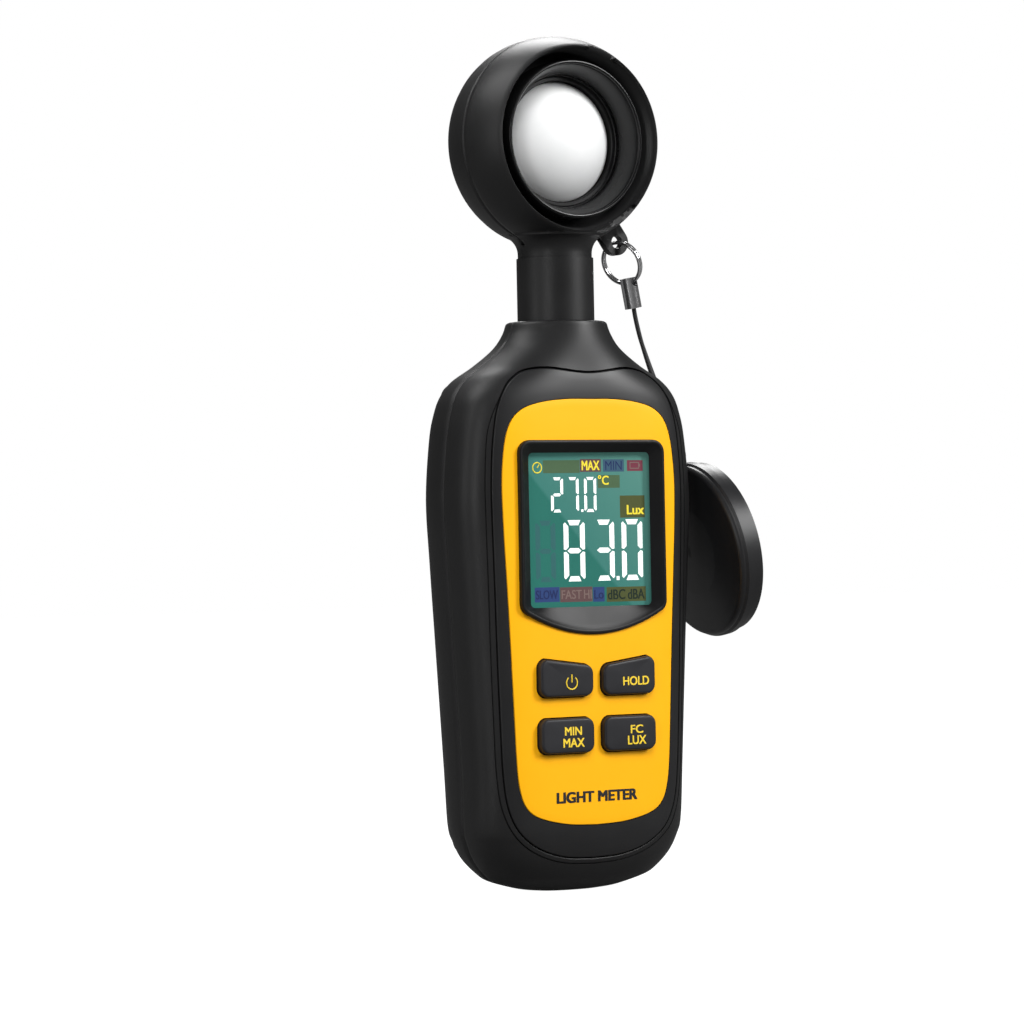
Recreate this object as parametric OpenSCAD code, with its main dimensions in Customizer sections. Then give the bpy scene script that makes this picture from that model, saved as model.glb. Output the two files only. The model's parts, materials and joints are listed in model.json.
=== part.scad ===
// Handheld light meter: casing with display and keys, swivelling sensor head, sensor cap on a lanyard.
// Frame: millimetres, +Z up, front face towards -Y, origin under the middle of the bounding box.

/* [Casing] */
// Height of the collar that the neck turns in, above the foot of the casing
collar_z = 116; // [114:0.5:118]
// Distance of the swivel axis in front of the middle of the casing
swivel_offset = 1.65; // [1:0.05:2.5]
// Wall of the front and rear shells
wall = 2; // [1.6:0.1:2.4]
// Thickness of the smooth face panel set into the front shell
panel_t = 1.3; // [1:0.1:1.5]
// Thickness of the coloured label plate set into the face panel
label_t = 0.5; // [0.3:0.1:0.7]

/* [Display] */
// Visible width of the display
view_w = 29.2; // [28:0.1:30]
// Visible height of the display
view_h = 31.2; // [30:0.1:32]
// Height of the middle of the display above the foot
view_z = 73.4; // [72:0.1:75]
// Outer width of the display surround
surround_w = 35; // [34:0.1:36]

/* [Keys] */
// Width of a key
key_w = 12.6; // [11:0.1:13]
// Gap between the two columns of keys
key_gap = 2.4; // [2:0.1:4]
// Travel of a key
key_travel = 0.8; // [0.5:0.1:1]
// How far a key stands proud of the face
key_proud = 1.2; // [0.8:0.1:1.5]

/* [Sensor head] */
// Height of the middle of the round head
head_z = 152.85; // [150:0.05:155]
// Outer radius of the head
head_r = 21.65; // [21:0.05:22]
// Radius of the neck tube
neck_r = 7.9; // [7:0.1:8.5]
// Radius of the white diffuser
diffuser_r = 12.3; // [11:0.1:13]
// Turn of the head to each side
head_turn = 135; // [90:5:135]

/* [Lanyard] */
// Outer radius of the sensor cap
cap_r = 18.5; // [18:0.1:19]
// Depth of the sensor cap at its rim
cap_depth = 5.4; // [5:0.1:6]
// Diameter of the lanyard cord
cord_d = 0.9; // [0.8:0.1:1]

/* [Batteries] */
// Radius of an AAA cell
cell_r = 5.2; // [5:0.05:5.25]
// Length of an AAA cell with its stud
cell_l = 44.5; // [44:0.1:44.5]

/* [Hidden] */
$fn = 48;

swivel_y = -swivel_offset;
shell_black = "#26272a";
panel_grey = "#3a3b3e";
label_yellow = "#fcc02a";
key_black = "#1c1d20";
metal = "#c9ccd0";
brass = "#c9a24a";

// Casing sections, foot to collar: height, half width, depth ahead of and behind the swivel axis,
// and how square the front and the back of the section are (2 is an ellipse).
sections = [
    [0, 7, 3.5, 3.8, 2.2, 2.2],
    [0.6, 11.7, 5.5, 6, 2.4, 2.2],
    [2.3, 17.7, 7.9, 8.8, 2.6, 2.4],
    [4, 20.2, 9.3, 10.7, 2.8, 2.5],
    [7, 22.7, 10.7, 12.9, 3.1, 2.7],
    [10.5, 24.2, 11.5, 14.3, 3.4, 2.8],
    [14, 24.9, 11.9, 15.1, 3.6, 2.9],
    [25, 25.1, 12.1, 15.9, 4, 3],
    [50, 26.4, 12.3, 16.6, 4, 3],
    [67, 27.4, 12.4, 16.8, 4, 3],
    [80, 28, 12.4, 16.9, 4, 3],
    [92, 27, 12.4, 16.7, 4, 3],
    [97.5, 25.9, 12.3, 16.1, 3.9, 3],
    [101, 24.6, 12.2, 15.5, 3.6, 2.9],
    [104, 22.3, 11.9, 14.7, 3, 2.7],
    [107, 18, 11.5, 13.4, 2.4, 2.3],
    [110.5, 13.5, 11.1, 11.9, 2.1, 2.1],
    [113.5, 11.3, 10.7, 10.8, 2, 2],
    [collar_z, 10.3, 10.3, 10.3, 2, 2]
];
ring_sides = 36;

face_y = swivel_y - 12.4;
rear_y = 15.25;
seam_gap = 0.05;

// Half outline of the face panel: distance from the middle, lowest and highest height there.
panel_edge = [
    [0, 7, 105.2], [6, 7.3, 106], [11, 8.4, 106.4], [15, 10.4, 105.6], [18.5, 14, 102.6],
    [20.8, 22, 98.4], [21.9, 45, 94], [22.6, 70, 88]
];
// Half outline of the label plate, given in the same way.
label_edge = [
    [0, 13.7, 100.3], [8, 14.3, 100.1], [13, 15.8, 99.4], [16, 18, 97.9], [18, 27, 95.6],
    [19.4, 50, 92.6], [20.4, 70, 88]
];

surround_top = 91.5;
surround_side = 56.5;
surround_low = 52.2;
surround_proud = 0.5;
window_y = face_y + 1.05;
window_t = 1;
glass_y = window_y + window_t + 0.1;

board_y = -5.4;
board_t = 1.6;
board_low = 21;
board_high = 97.4;
board_half = 20.4;
board_hole_x = 17.6;
board_hole_low = 24.5;
board_hole_high = 95;

// Rows of keys: height of the lower edge, then the height of the key beside the middle and away from it.
low_row = [28.4, 7.1, 7.1];
high_row = [39.8, 6.4, 7.7];
key_fit = 0.25;
key_r = 1.9;
key_back = 2.9;

cell_x = 10.55;
cell_y = 6.2;
cell_z = 20;
tray_low = 17.2;
tray_high = 67.2;
tray_half = 17;
door_half = 17.3;
door_low = 15.6;
door_high = 69;
door_t = 1.6;
door_gap = 0.3;

tripod_z = 82;
tripod_r = 3.1;
tripod_l = 7.5;

case_screw_x = 17;
case_screw_low = 10.6;
case_screw_high = 100.4;
screw_seat = 4;
post_root = 1.5;

neck_bore = 4.5;
neck_foot = 99.5;
neck_top = 129.05;
spigot_r = 6;
spigot_top = 134;
bush_r = 9.2;
bush_foot = 103.6;
bush_top = 115.4;
clip_z = 101.3;
seat_z = 97.4;
running = 0.06;

head_seam = 0.5;
head_front = 10.3;
head_back = 16.5;
head_wall = 1.7;
groove_in = 16.1;
groove_out = 18.1;
groove_floor = 3.2;
notch_angle = 60;
head_screw_out = 15.6;
head_screw_seat = 6;

lug_angle = -54.4;
lug_out = 24.75;
lug_x = lug_out * cos(lug_angle);
lug_z = head_z + lug_out * sin(lug_angle);
lug_r = 2.75;
lug_bore = 1.35;
lug_t = 1.9;
lug_y = swivel_y - 0.55;
hang_lean = 22;
ring_r = 4.45;
ring_drop = ring_r + 0.12;
wire_r = 0.33;
ring_turn = 20;
ferrule_lean = 11;
ferrule_x = lug_x + (ring_drop + ring_r) * sin(hang_lean);
ferrule_z = lug_z - (ring_drop + ring_r) * cos(hang_lean);

cap_x = 33.3;
cap_y = swivel_y + 0.2;
cap_z = 68.4;
cap_turn = -3.4;
cap_tilt = 11;
cap_wall = 1.3;
tab_angle = 6;
tab_out = 20.9;

// Middle line of the lanyard cord: out of the ferrule, over the shoulder, through the hole in the
// cap's tab and back. The two strands leave the ferrule one behind the other.
cord_route = [
    [18.5, -2.6, 120.2], [19, -2.5, 117.5], [20.3, -2.3, 113], [22, -2, 108.5], [23.8, -1.6, 104.4],
    [25.5, -1, 100.8], [26.9, -0.3, 97.4], [28, 0.4, 94.2], [28.6, 0.85, 91.3], [29.25, 0.9, 89.7],
    [30.5, 0.9, 88.9], [31.8, 0.9, 89.6], [32.3, 0.9, 91.3], [31.7, 0.95, 93.6], [30.3, 0.9, 96],
    [28.3, 0.6, 98.9], [26.6, 0.1, 101.8], [24.8, -0.4, 105], [22.8, -0.9, 108.9], [20.9, -1.3, 113.1],
    [19.5, -1.7, 117.4], [19, -1.8, 120.2]
];

function power(v, p) = sign(v) * pow(abs(v), p);

// One closed ring of points on the casing surface, moved inwards by inset.
function casing_ring(s, inset) = [
    for (i = [0:ring_sides - 1])
        let (t = 360 * i / ring_sides, rear = i < ring_sides / 2, n = rear ? s[5] : s[4])
            [(s[1] - inset) * power(cos(t), 2 / n),
             swivel_y + ((rear ? s[3] : s[2]) - inset) * power(sin(t), 2 / n),
             s[0]]
];

// Triangles that join rings of equal length into one closed skin.
function skin_faces(rings, sides) = concat(
    [[for (i = [0:sides - 1]) i]],
    [for (j = [0:rings - 2], i = [0:sides - 1])
        let (a = j * sides + i, b = j * sides + (i + 1) % sides)
            each [[a, a + sides, b + sides], [a, b + sides, b]]],
    [[for (i = [sides - 1:-1:0]) (rings - 1) * sides + i]]
);

// Solid inside the casing surface. A cavity starts above the foot by lift and ends above the collar.
module casing_solid(inset = 0, lift = 0) {
    last = len(sections) - 1;
    first = lift > 0 ? 2 : 0;
    used = [for (j = [first:last]) sections[j]];
    points = [
        for (j = [0:len(used) - 1])
            each [for (p = casing_ring(used[j], inset)) p + [0, 0, j == 0 ? lift : 0]]
    ];
    cap = lift > 0 ? [for (p = casing_ring(used[len(used) - 1], inset)) p + [0, 0, 1]] : [];
    polyhedron(concat(points, cap), skin_faces(len(used) + (lift > 0 ? 1 : 0), ring_sides));
}

// Value of one column of the sections at any height.
function at_height(z, column) = lookup(z, [for (s = sections) [s[0], s[column]]]);

// Depth of the casing surface at a place on its front (side -1) or its back (side 1).
function surface_y(x, z, side) =
    let (n = at_height(z, side < 0 ? 4 : 5), b = at_height(z, side < 0 ? 2 : 3))
        swivel_y + side * b * pow(1 - pow(min(abs(x) / at_height(z, 1), 0.999), n), 1 / n);

// Plate that follows the casing surface inside an outline; over stands it proud, deep sinks its back.
module surface_plate(outline, side, over, deep, grow = 0) {
    columns = 30;
    rows = 22;
    half = outline[len(outline) - 1][0] + grow;
    low = [for (e = outline) [e[0] + grow, e[1] - grow]];
    high = [for (e = outline) [e[0] + grow, e[2] + grow]];
    grid = [
        for (i = [0:columns])
            let (x = half * sin(90 * (2 * i / columns - 1)),
                 zl = lookup(abs(x), low),
                 zh = lookup(abs(x), high))
                for (j = [0:rows])
                    let (z = zl + (zh - zl) * (1 - cos(180 * j / rows)) / 2)
                        [x, surface_y(x, z, side), z]
    ];
    count = len(grid);
    row = rows + 1;
    outer = [for (p = grid) p + [0, side * over, 0]];
    inner = [for (p = grid) p - [0, side * deep, 0]];
    top = [
        for (i = [0:columns - 1], j = [0:rows - 1])
            let (a = i * row + j, b = a + row)
                each [[a, a + 1, b], [b, a + 1, b + 1]]
    ];
    rim = concat(
        [for (i = [0:columns - 1]) [i * row, (i + 1) * row]],
        [for (j = [0:rows - 1]) [columns * row + j, columns * row + j + 1]],
        [for (i = [columns:-1:1]) [i * row + rows, (i - 1) * row + rows]],
        [for (j = [rows:-1:1]) [j, j - 1]]
    );
    edge = [for (e = rim) each [[e[0], e[1], e[1] + count], [e[0], e[1] + count, e[0] + count]]];
    back = [for (f = top) [f[0] + count, f[2] + count, f[1] + count]];
    faces = concat(top, edge, back);
    polyhedron(concat(outer, inner), side < 0 ? faces : [for (f = faces) [f[2], f[1], f[0]]]);
}

function arc(x, z, r, from, to, n = 8) = [
    for (i = [0:n]) let (t = from + (to - from) * i / n) [x + r * cos(t), z + r * sin(t)]
];

// Extrude an outline drawn in X and Z from one depth to another.
module slab(y0, y1) {
    translate([0, y1, 0])
        rotate([90, 0, 0])
            linear_extrude(y1 - y0)
                children();
}

module rounded_box(w, h, r, z = 0) {
    polygon(concat(
        arc(w / 2 - r, z + h / 2 - r, r, 0, 90),
        arc(r - w / 2, z + h / 2 - r, r, 90, 180),
        arc(r - w / 2, z + r - h / 2, r, 180, 270),
        arc(w / 2 - r, z + r - h / 2, r, 270, 360)
    ));
}

// Outline of the display surround: straight top and sides, and a bowed lower lip.
module surround_outline(grow = 0) {
    half = surround_w / 2 + grow;
    corner = 3;
    bow = 28;
    lip_r = half * half / (2 * (surround_side - surround_low)) - 6;
    reach = asin((half - corner) / lip_r);
    polygon(concat(
        arc(half - corner, surround_top + grow - corner, corner, 0, 90),
        arc(corner - half, surround_top + grow - corner, corner, 90, 180),
        [[-half, surround_side + 2]],
        arc(0, surround_low - grow + lip_r, lip_r, 270 - reach, 270 + reach, bow),
        [[half, surround_side + 2]]
    ));
}

// Outline of a key on one side of the middle, grown all round.
module key_outline(side, row, grow = 0) {
    w = key_w + 2 * grow;
    inner = row[1] + 2 * grow;
    outer = row[2] + 2 * grow;
    r = key_r + grow;
    mirror([side < 0 ? 1 : 0, 0])
        translate([key_gap / 2 - grow, row[0] - grow])
            polygon(concat(
                arc(r, r, r, 180, 270),
                arc(w - r, r, r, 270, 360),
                arc(w - r, outer - r, r, 0, 78),
                arc(r, inner - r, r, 98, 180)
            ));
}

module all_key_outlines(grow) {
    for (side = [-1, 1], row = [low_row, high_row]) key_outline(side, row, grow);
}

module bolt_line(x, z, y0, y1, r) {
    for (side = [-1, 1])
        translate([side * x, y1, z])
            rotate([90, 0, 0])
                cylinder(r = r, h = y1 - y0);
}

// Posts inside the front shell, each with a screw hole from its back.
module front_posts(x, z, back, r, hole) {
    skin = surface_y(x, z, -1);
    difference() {
        bolt_line(x, z, skin + post_root, back, r);
        bolt_line(x, z, skin + post_root + 1.2, back + 1, hole);
    }
}

module front_shell() {
    color(shell_black)
        difference() {
            union() {
                difference() {
                    casing_solid();
                    casing_solid(wall, 0.6);
                }
                for (z = [case_screw_low, case_screw_high])
                    front_posts(case_screw_x, z, swivel_y - 0.1, 2.6, 1.2);
                for (z = [board_hole_low, board_hole_high]) front_posts(board_hole_x, z, board_y, 2.4, 0.9);
            }
            translate([-50, swivel_y - seam_gap / 2, -1]) cube([100, 60, 130]);
            surface_plate(panel_edge, -1, 2, panel_t, 0.15);
            slab(-30, -8) surround_outline(0.15);
            slab(-30, -8) all_key_outlines(key_fit);
            translate([0, swivel_y, 96]) cylinder(r = bush_r + 0.05, h = 30);
        }
}

module rear_shell() {
    color(shell_black) {
        difference() {
            union() {
                difference() {
                    casing_solid();
                    casing_solid(wall, 0.6);
                }
                for (z = [case_screw_low, case_screw_high]) bolt_line(case_screw_x, z, -4, 6.4, 3.45);
            }
            translate([-50, swivel_y - 60 + seam_gap / 2, -1]) cube([100, 60, 130]);
            translate([-door_half - door_gap, 5, door_low - door_gap])
                cube([2 * (door_half + door_gap), 30, door_high - door_low + 2 * door_gap]);
            translate([0, 30, tripod_z]) rotate([90, 0, 0]) cylinder(r = 4.6, h = 25);
            for (z = [case_screw_low, case_screw_high]) {
                bolt_line(case_screw_x, z, screw_seat, 30, 2.9);
                bolt_line(case_screw_x, z, -5, 5, 1.45);
            }
            translate([0, swivel_y, 96]) cylinder(r = bush_r + 0.05, h = 30);
        }
    }
}

module face_panel() {
    color(panel_grey)
        difference() {
            surface_plate(panel_edge, -1, 0, panel_t - 0.2);
            surface_plate(label_edge, -1, 2, label_t, 0.06);
            slab(-30, -8) surround_outline(0.1);
            slab(-30, -8) all_key_outlines(key_fit);
        }
}

module face_label() {
    color(label_yellow)
        difference() {
            surface_plate(label_edge, -1, 0.05, label_t - 0.03);
            slab(-30, -8) surround_outline(0.05);
            slab(-30, -8) all_key_outlines(key_fit);
        }
}

module display_surround() {
    color(key_black)
        difference() {
            slab(face_y - surround_proud, window_y + window_t) surround_outline();
            slab(-30, 0) rounded_box(view_w, view_h, 1, view_z);
            slab(window_y - 0.02, 0) rounded_box(view_w + 2.4, view_h + 2.4, 1, view_z);
        }
}

module display_window() {
    color("#9fc6bf")
        slab(window_y, window_y + window_t - 0.05) rounded_box(view_w + 2.2, view_h + 2.2, 0.9, view_z);
}

module lcd_glass() {
    color("#3e8276")
        slab(glass_y, glass_y + 2.2) rounded_box(view_w + 2.4, view_h + 2, 0.5, view_z);
}

module lcd_frame() {
    color("#e4e4df")
        difference() {
            slab(glass_y + 1, board_y) rounded_box(view_w + 7.4, view_h + 7, 1, view_z);
            slab(-30, 0) rounded_box(view_w + 2.6, view_h + 2.2, 0.6, view_z);
        }
}

module backlight() {
    color("#f4f6f2")
        slab(glass_y + 2.3, glass_y + 4.5) rounded_box(view_w + 2, view_h - 2.4, 0.6, view_z);
}

module contact_strips() {
    strip_h = 1.4;
    color("#d98c9b")
        for (side = [-1, 1])
            slab(glass_y + 2.25, board_y - 0.02)
                rounded_box(view_w + 1.6, strip_h, 0.3, view_z + side * (view_h / 2 + 0.1));
}

module main_board() {
    color("#1f6b3a")
        difference() {
            slab(board_y + 0.02, board_y + board_t)
                rounded_box(2 * board_half, board_high - board_low, 3, (board_high + board_low) / 2);
            for (z = [board_hole_low, board_hole_high]) bolt_line(board_hole_x, z, -20, 5, 1.2);
            slab(-20, 5) rounded_box(7, 3, 1, board_high - 1);
        }
}

module board_chips() {
    back = board_y + board_t + 0.02;
    color("#18191b") {
        slab(back, back + 1.6) rounded_box(12, 12, 0.3, 80);
        translate([12, 0, 0]) slab(back, back + 1.4) rounded_box(5, 4, 0.2, 70.5);
        translate([-12, 0, 0]) slab(back, back + 1.4) rounded_box(5, 4, 0.2, 70.5);
        translate([13, 0, 0]) slab(back, back + 2.4) rounded_box(4, 8, 1.9, 82);
    }
}

module key_switches() {
    front = board_y - 0.02;
    color("#d7d9dc")
        for (side = [-1, 1], row = [low_row, high_row])
            translate([side * (key_gap + key_w) / 2, 0, row[0] + row[1] / 2]) {
                slab(front - 1.5, front) rounded_box(4.5, 4.5, 0.4);
                translate([0, front - 1.45, 0]) rotate([90, 0, 0]) cylinder(r = 1.2, h = 0.75);
            }
}

module buzzer() {
    color("#202124")
        translate([-13, board_y + board_t + 0.02, 84])
            rotate([-90, 0, 0])
                difference() {
                    cylinder(r = 4.5, h = 3);
                    translate([0, 0, 2]) cylinder(r = 0.8, h = 2);
                }
}

module temperature_bead() {
    color("#6b3f1f") {
        translate([6.5, board_y + board_t + 2, 92]) sphere(r = 1.1);
        for (side = [-1, 1])
            translate([6.5 + side * 0.5, board_y + board_t + 0.02, 92])
                rotate([-90, 0, 0])
                    cylinder(r = 0.2, h = 1.5);
    }
}

// Pan-head screw along -Y, head at the back.
module pan_screw(r, l, head_rad, head_h) {
    rotate([90, 0, 0])
        rotate_extrude()
            polygon([[0, -head_h], [head_rad * 0.75, -head_h], [head_rad, -head_h * 0.5], [head_rad, 0],
                     [r, 0], [r, l - 1.2], [0.2, l], [0, l]]);
}

module board_screws() {
    color(metal)
        for (side = [-1, 1], z = [board_hole_low, board_hole_high])
            translate([side * board_hole_x, board_y + board_t + 0.03, z]) pan_screw(0.85, 6.5, 1.9, 1.2);
}

// A key is a cap with a wider flange behind the shell and a plunger over its switch.
module key(side, row) {
    flange = face_y + key_back;
    plunger_end = board_y - 2.25 - key_travel - 0.15;
    color(key_black) {
        slab(face_y - key_proud, flange + 0.6) key_outline(side, row);
        slab(flange, flange + 0.9) key_outline(side, row, 0.7);
        translate([side * (key_gap + key_w) / 2, plunger_end, row[0] + row[1] / 2])
            rotate([90, 0, 0])
                cylinder(r = 1.6, h = plunger_end - flange);
    }
}

module power_key() { key(-1, high_row); }
module hold_key() { key(1, high_row); }
module min_max_key() { key(-1, low_row); }
module unit_key() { key(1, low_row); }

module battery_tray() {
    floor_y = cell_y - cell_r - 1.3;
    tall = tray_high - tray_low;
    middle = (tray_high + tray_low) / 2;
    color("#1f2023")
        difference() {
            slab(floor_y, 9.4) rounded_box(2 * tray_half, tall, 1.5, middle);
            slab(floor_y + 1.1, 20) rounded_box(2 * tray_half - 2.2, tall - 2.2, 1, middle);
            slab(floor_y - 1, 5) rounded_box(6, 3, 1, 24);
        }
}

module battery_cells() {
    for (i = [-1:1])
        translate([i * cell_x, cell_y, cell_z + (i == 0 ? cell_l : 0)])
            mirror([0, 0, i == 0 ? 1 : 0])
                color("#3d6f8e")
                    rotate_extrude()
                        polygon([
                            [0, 0], [cell_r - 0.4, 0], [cell_r, 0.4], [cell_r, cell_l - 1.5],
                            [cell_r - 0.5, cell_l - 0.9], [1.9, cell_l - 0.9], [1.9, cell_l], [0, cell_l]
                        ]);
}

module battery_plates() {
    color(metal)
        for (i = [-1:1], high = [0, 1])
            translate([i * cell_x, cell_y, high ? tray_high - 1.35 : tray_low + 1.35])
                cube([8.5, 8, 0.4], center = true);
}

// Spring at the flat end of each cell: three coils of falling radius, joined into one cone.
module battery_springs() {
    wire = 0.35;
    turns = 3;
    room = 0.95;
    color(metal)
        for (i = [-1:1])
            translate([i * cell_x, cell_y, i == 0 ? tray_high - 1.6 : tray_low + 1.6])
                mirror([0, 0, i == 0 ? 1 : 0])
                    rotate_extrude() {
                        for (k = [0:turns - 1])
                            translate([3.4 - 0.6 * k, wire + k * (room - wire) / turns]) circle(r = wire);
                        polygon([[3.2, 0.1], [3.5, 0.1], [2.3, room - 0.3], [2, room - 0.3]]);
                    }
}

module battery_door() {
    edge = [[0, door_low, door_high], [door_half, door_low, door_high]];
    color(shell_black) {
        surface_plate(edge, 1, 0, door_t);
        translate([-5, 11.8, door_high - 5]) cube([10, 2.2, 1.6]);
        for (side = [-1, 1])
            translate([side * 9 - 2.5, 10.4, door_low + 1.2]) cube([5, 2.4, 1.4]);
    }
}

module tripod_insert() {
    color(brass)
        translate([0, rear_y - 0.3, tripod_z])
            rotate([90, 0, 0])
                difference() {
                    union() {
                        cylinder(r = 4.5, h = tripod_l);
                        translate([0, 0, 1.95]) cylinder(r = 6, h = 1.5);
                    }
                    translate([0, 0, -1]) cylinder(r = tripod_r, h = tripod_l);
                }
}

module case_screws() {
    color("#2c2d30")
        for (side = [-1, 1], z = [case_screw_low, case_screw_high])
            translate([side * case_screw_x, screw_seat + 0.04, z]) pan_screw(1.15, 13, 2.5, 1.7);
}

module swivel_bush() {
    color("#e8e6dc")
        translate([0, swivel_y, bush_foot])
            difference() {
                cylinder(r = bush_r, h = bush_top - bush_foot);
                translate([0, 0, -1]) cylinder(r = neck_r + running, h = 20);
            }
}

// Seat under the neck, with the raised arc that stops the head's turn.
module swivel_seat() {
    stop_half = 180 - head_turn - 8.5;
    color("#e8e6dc")
        translate([0, swivel_y, seat_z])
            difference() {
                union() {
                    cylinder(r = 10, h = neck_foot - seat_z - 0.1);
                    rotate([0, 0, 90 - stop_half])
                        rotate_extrude(angle = 2 * stop_half)
                            translate([8.9, 1]) square([1, 2.5]);
                }
                translate([0, 0, -1]) cylinder(r = 3.5, h = 6);
            }
}

module wave_washer() {
    color(metal)
        translate([0, swivel_y, clip_z + 1.15])
            difference() {
                cylinder(r = 9.7, h = bush_foot - clip_z - 1.2);
                translate([0, 0, -1]) cylinder(r = neck_r + 0.15, h = 5);
            }
}

module lower_lead() {
    color("#33343a") {
        translate([0, swivel_y, seat_z - 2.2]) cylinder(r = 3, h = 2.1);
        translate([0, swivel_y, board_high - 2]) cylinder(r = 1.3, h = 1.4);
        slab(board_y + board_t + 0.03, swivel_y + 1) rounded_box(5, 3, 0.5, board_high - 3.5);
    }
}

// Neck tube: a sleeve that turns in the bush, and a thinner spigot inside the head.
module neck_tube() {
    color(shell_black)
        translate([0, swivel_y, 0]) {
            difference() {
                union() {
                    translate([0, 0, neck_foot]) cylinder(r = neck_r, h = neck_top - neck_foot);
                    translate([0, 0, neck_top - 1]) cylinder(r = spigot_r, h = spigot_top - neck_top + 1);
                }
                translate([0, 0, neck_foot - 1]) cylinder(r = neck_bore, h = 60);
                translate([0, 0, clip_z])
                    difference() {
                        cylinder(r = 12, h = 1.1);
                        translate([0, 0, -1]) cylinder(r = 7, h = 4);
                    }
            }
            translate([0, 0, neck_foot + 0.2])
                rotate([0, 0, 262])
                    rotate_extrude(angle = 16)
                        translate([7.6, 0]) square([2.1, 1.4]);
        }
}

module retaining_clip() {
    color(metal)
        translate([0, swivel_y, clip_z + 0.05])
            rotate([0, 0, 300])
                rotate_extrude(angle = 300)
                    translate([7.05, 0]) square([2.75, 1]);
}

// Points of the head's outer profile, as distance from its axis and distance ahead of the swivel axis.
function head_outer(from_h, inset = 0) = [
    for (i = [0:12])
        let (a0 = asin(from_h / head_r), t = a0 + (asin(head_front / head_r) - a0) * i / 12)
            [(head_r - inset) * cos(t), (head_r - inset) * sin(t)]
];

// Profile of the back of the head, a little fuller than a ball and flat at its end.
function head_rear(from_h, inset = 0) = concat(
    [for (i = [0:13])
        let (t0 = asin(pow(from_h / head_back, 1.25)), t = t0 + (90 - t0) * i / 14)
            [(head_r - inset) * power(cos(t), 0.8), (head_back - inset) * power(sin(t), 0.8)]],
    [[0, head_back - inset]]
);

module about_head_axis(forward = 1) {
    translate([0, swivel_y, head_z])
        rotate([forward > 0 ? 90 : -90, 0, 0])
            rotate_extrude($fn = 96)
                children();
}

// Flare from the neck into the ball of the head.
module head_flare() {
    throat = neck_r - 0.3;
    blend = 4;
    rise = sqrt(pow(head_r + blend, 2) - pow(throat + blend, 2));
    foot = neck_top + 0.05;
    end = 180 - atan2(rise, throat + blend);
    translate([0, swivel_y, 0])
        rotate_extrude()
            polygon(concat(
                [[0, foot], [throat, foot]],
                arc(throat + blend, head_z - rise, blend, 180, end - 4, 8),
                [[8.6, 134.4], [0, 134.4]]
            ));
}

module head_bore() {
    translate([0, swivel_y, neck_top - 1]) cylinder(r = spigot_r + 0.02, h = spigot_top - neck_top + 1.05);
    translate([0, swivel_y, neck_top - 1]) cylinder(r = 1.6, h = 14);
}

module head_screw_places() {
    for (t = [30, 90, 150])
        translate([head_screw_out * cos(t), 0, head_z + head_screw_out * sin(t)])
            rotate([-90, 0, 0])
                children();
}

module head_front_shell() {
    groove_lip = 8.6;
    lip_r = 18.5;
    land = 9.3;
    color(shell_black)
        difference() {
            union() {
                about_head_axis()
                    polygon(concat(
                        [[head_r - head_wall, -head_seam + seam_gap]],
                        head_outer(-head_seam + seam_gap),
                        [[18.75, head_front + 0.25], [lip_r, head_front], [lip_r, groove_lip],
                         [groove_out, groove_lip], [groove_out, groove_floor], [13.4, groove_floor],
                         [13.4, 1.7], [head_r - head_wall, 1.7]]
                    ));
                intersection() {
                    head_flare();
                    translate([-15, swivel_y - 15, 125]) cube([30, 15 + head_seam - seam_gap, 12]);
                }
                head_screw_places()
                    translate([0, 0, swivel_y - 2.5]) cylinder(r = 2.2, h = 2.5 + head_seam - seam_gap);
                translate([lug_x, lug_y + lug_t / 2, lug_z])
                    rotate([90, 0, 0])
                        linear_extrude(lug_t)
                            union() {
                                circle(r = lug_r);
                                rotate(180 + lug_angle) translate([0, -lug_r]) square([4.3, 2 * lug_r]);
                            }
            }
            head_bore();
            translate([lug_x, lug_y + 5, lug_z]) rotate([90, 0, 0]) cylinder(r = lug_bore, h = 10);
            head_screw_places() translate([0, 0, swivel_y - 2.9]) cylinder(r = 0.85, h = 6);
            // Finger notch in the rim, beside the lug
            translate([0, swivel_y, head_z])
                rotate([90, -notch_angle, 0])
                    rotate_extrude(angle = 22)
                        translate([17, land]) square([6, 4]);
        }
}

module head_rear_shell() {
    color(shell_black)
        difference() {
            union() {
                difference() {
                    about_head_axis(-1) polygon(concat([[0, 0]], head_rear(0)));
                    about_head_axis(-1)
                        polygon(concat([[0, -1], [head_r - head_wall, -1]], head_rear(0, head_wall)));
                }
                head_screw_places()
                    translate([0, 0, swivel_y]) cylinder(r = 2.4, h = 10.3);
                head_flare();
            }
            translate([-30, swivel_y + head_seam - 60, 110]) cube([60, 60, 80]);
            head_bore();
            head_screw_places() {
                translate([0, 0, swivel_y - 1]) cylinder(r = 1.1, h = 30);
                translate([0, 0, head_screw_seat]) cylinder(r = 1.9, h = 30);
            }
        }
}

module head_screws() {
    color(metal)
        for (t = [30, 90, 150])
            translate([head_screw_out * cos(t), head_screw_seat + 0.04, head_z + head_screw_out * sin(t)])
                pan_screw(0.8, 10, 1.7, 1.3);
}

module sensor_collar() {
    lip = 9.2;
    rounding = 0.4;
    color(key_black)
        about_head_axis()
            polygon(concat(
                [[groove_in, groove_floor + 0.02], [groove_in, lip - rounding]],
                arc(groove_in - rounding, lip - rounding, rounding, 0, 180, 8),
                [[15.1, 7], [14.6, 6.9], [14.4, 5.2], [13.9, 5.1], [13.6, 3.6], [13.5, groove_floor + 0.02]]
            ));
}

module diffuser_ring() {
    color(key_black)
        about_head_axis()
            polygon([[diffuser_r + 0.1, 1.2], [13.35, 1.2], [13.35, 3], [13.15, 3.2], [diffuser_r + 0.3, 3.2],
                     [diffuser_r + 0.1, 3]]);
}

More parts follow.
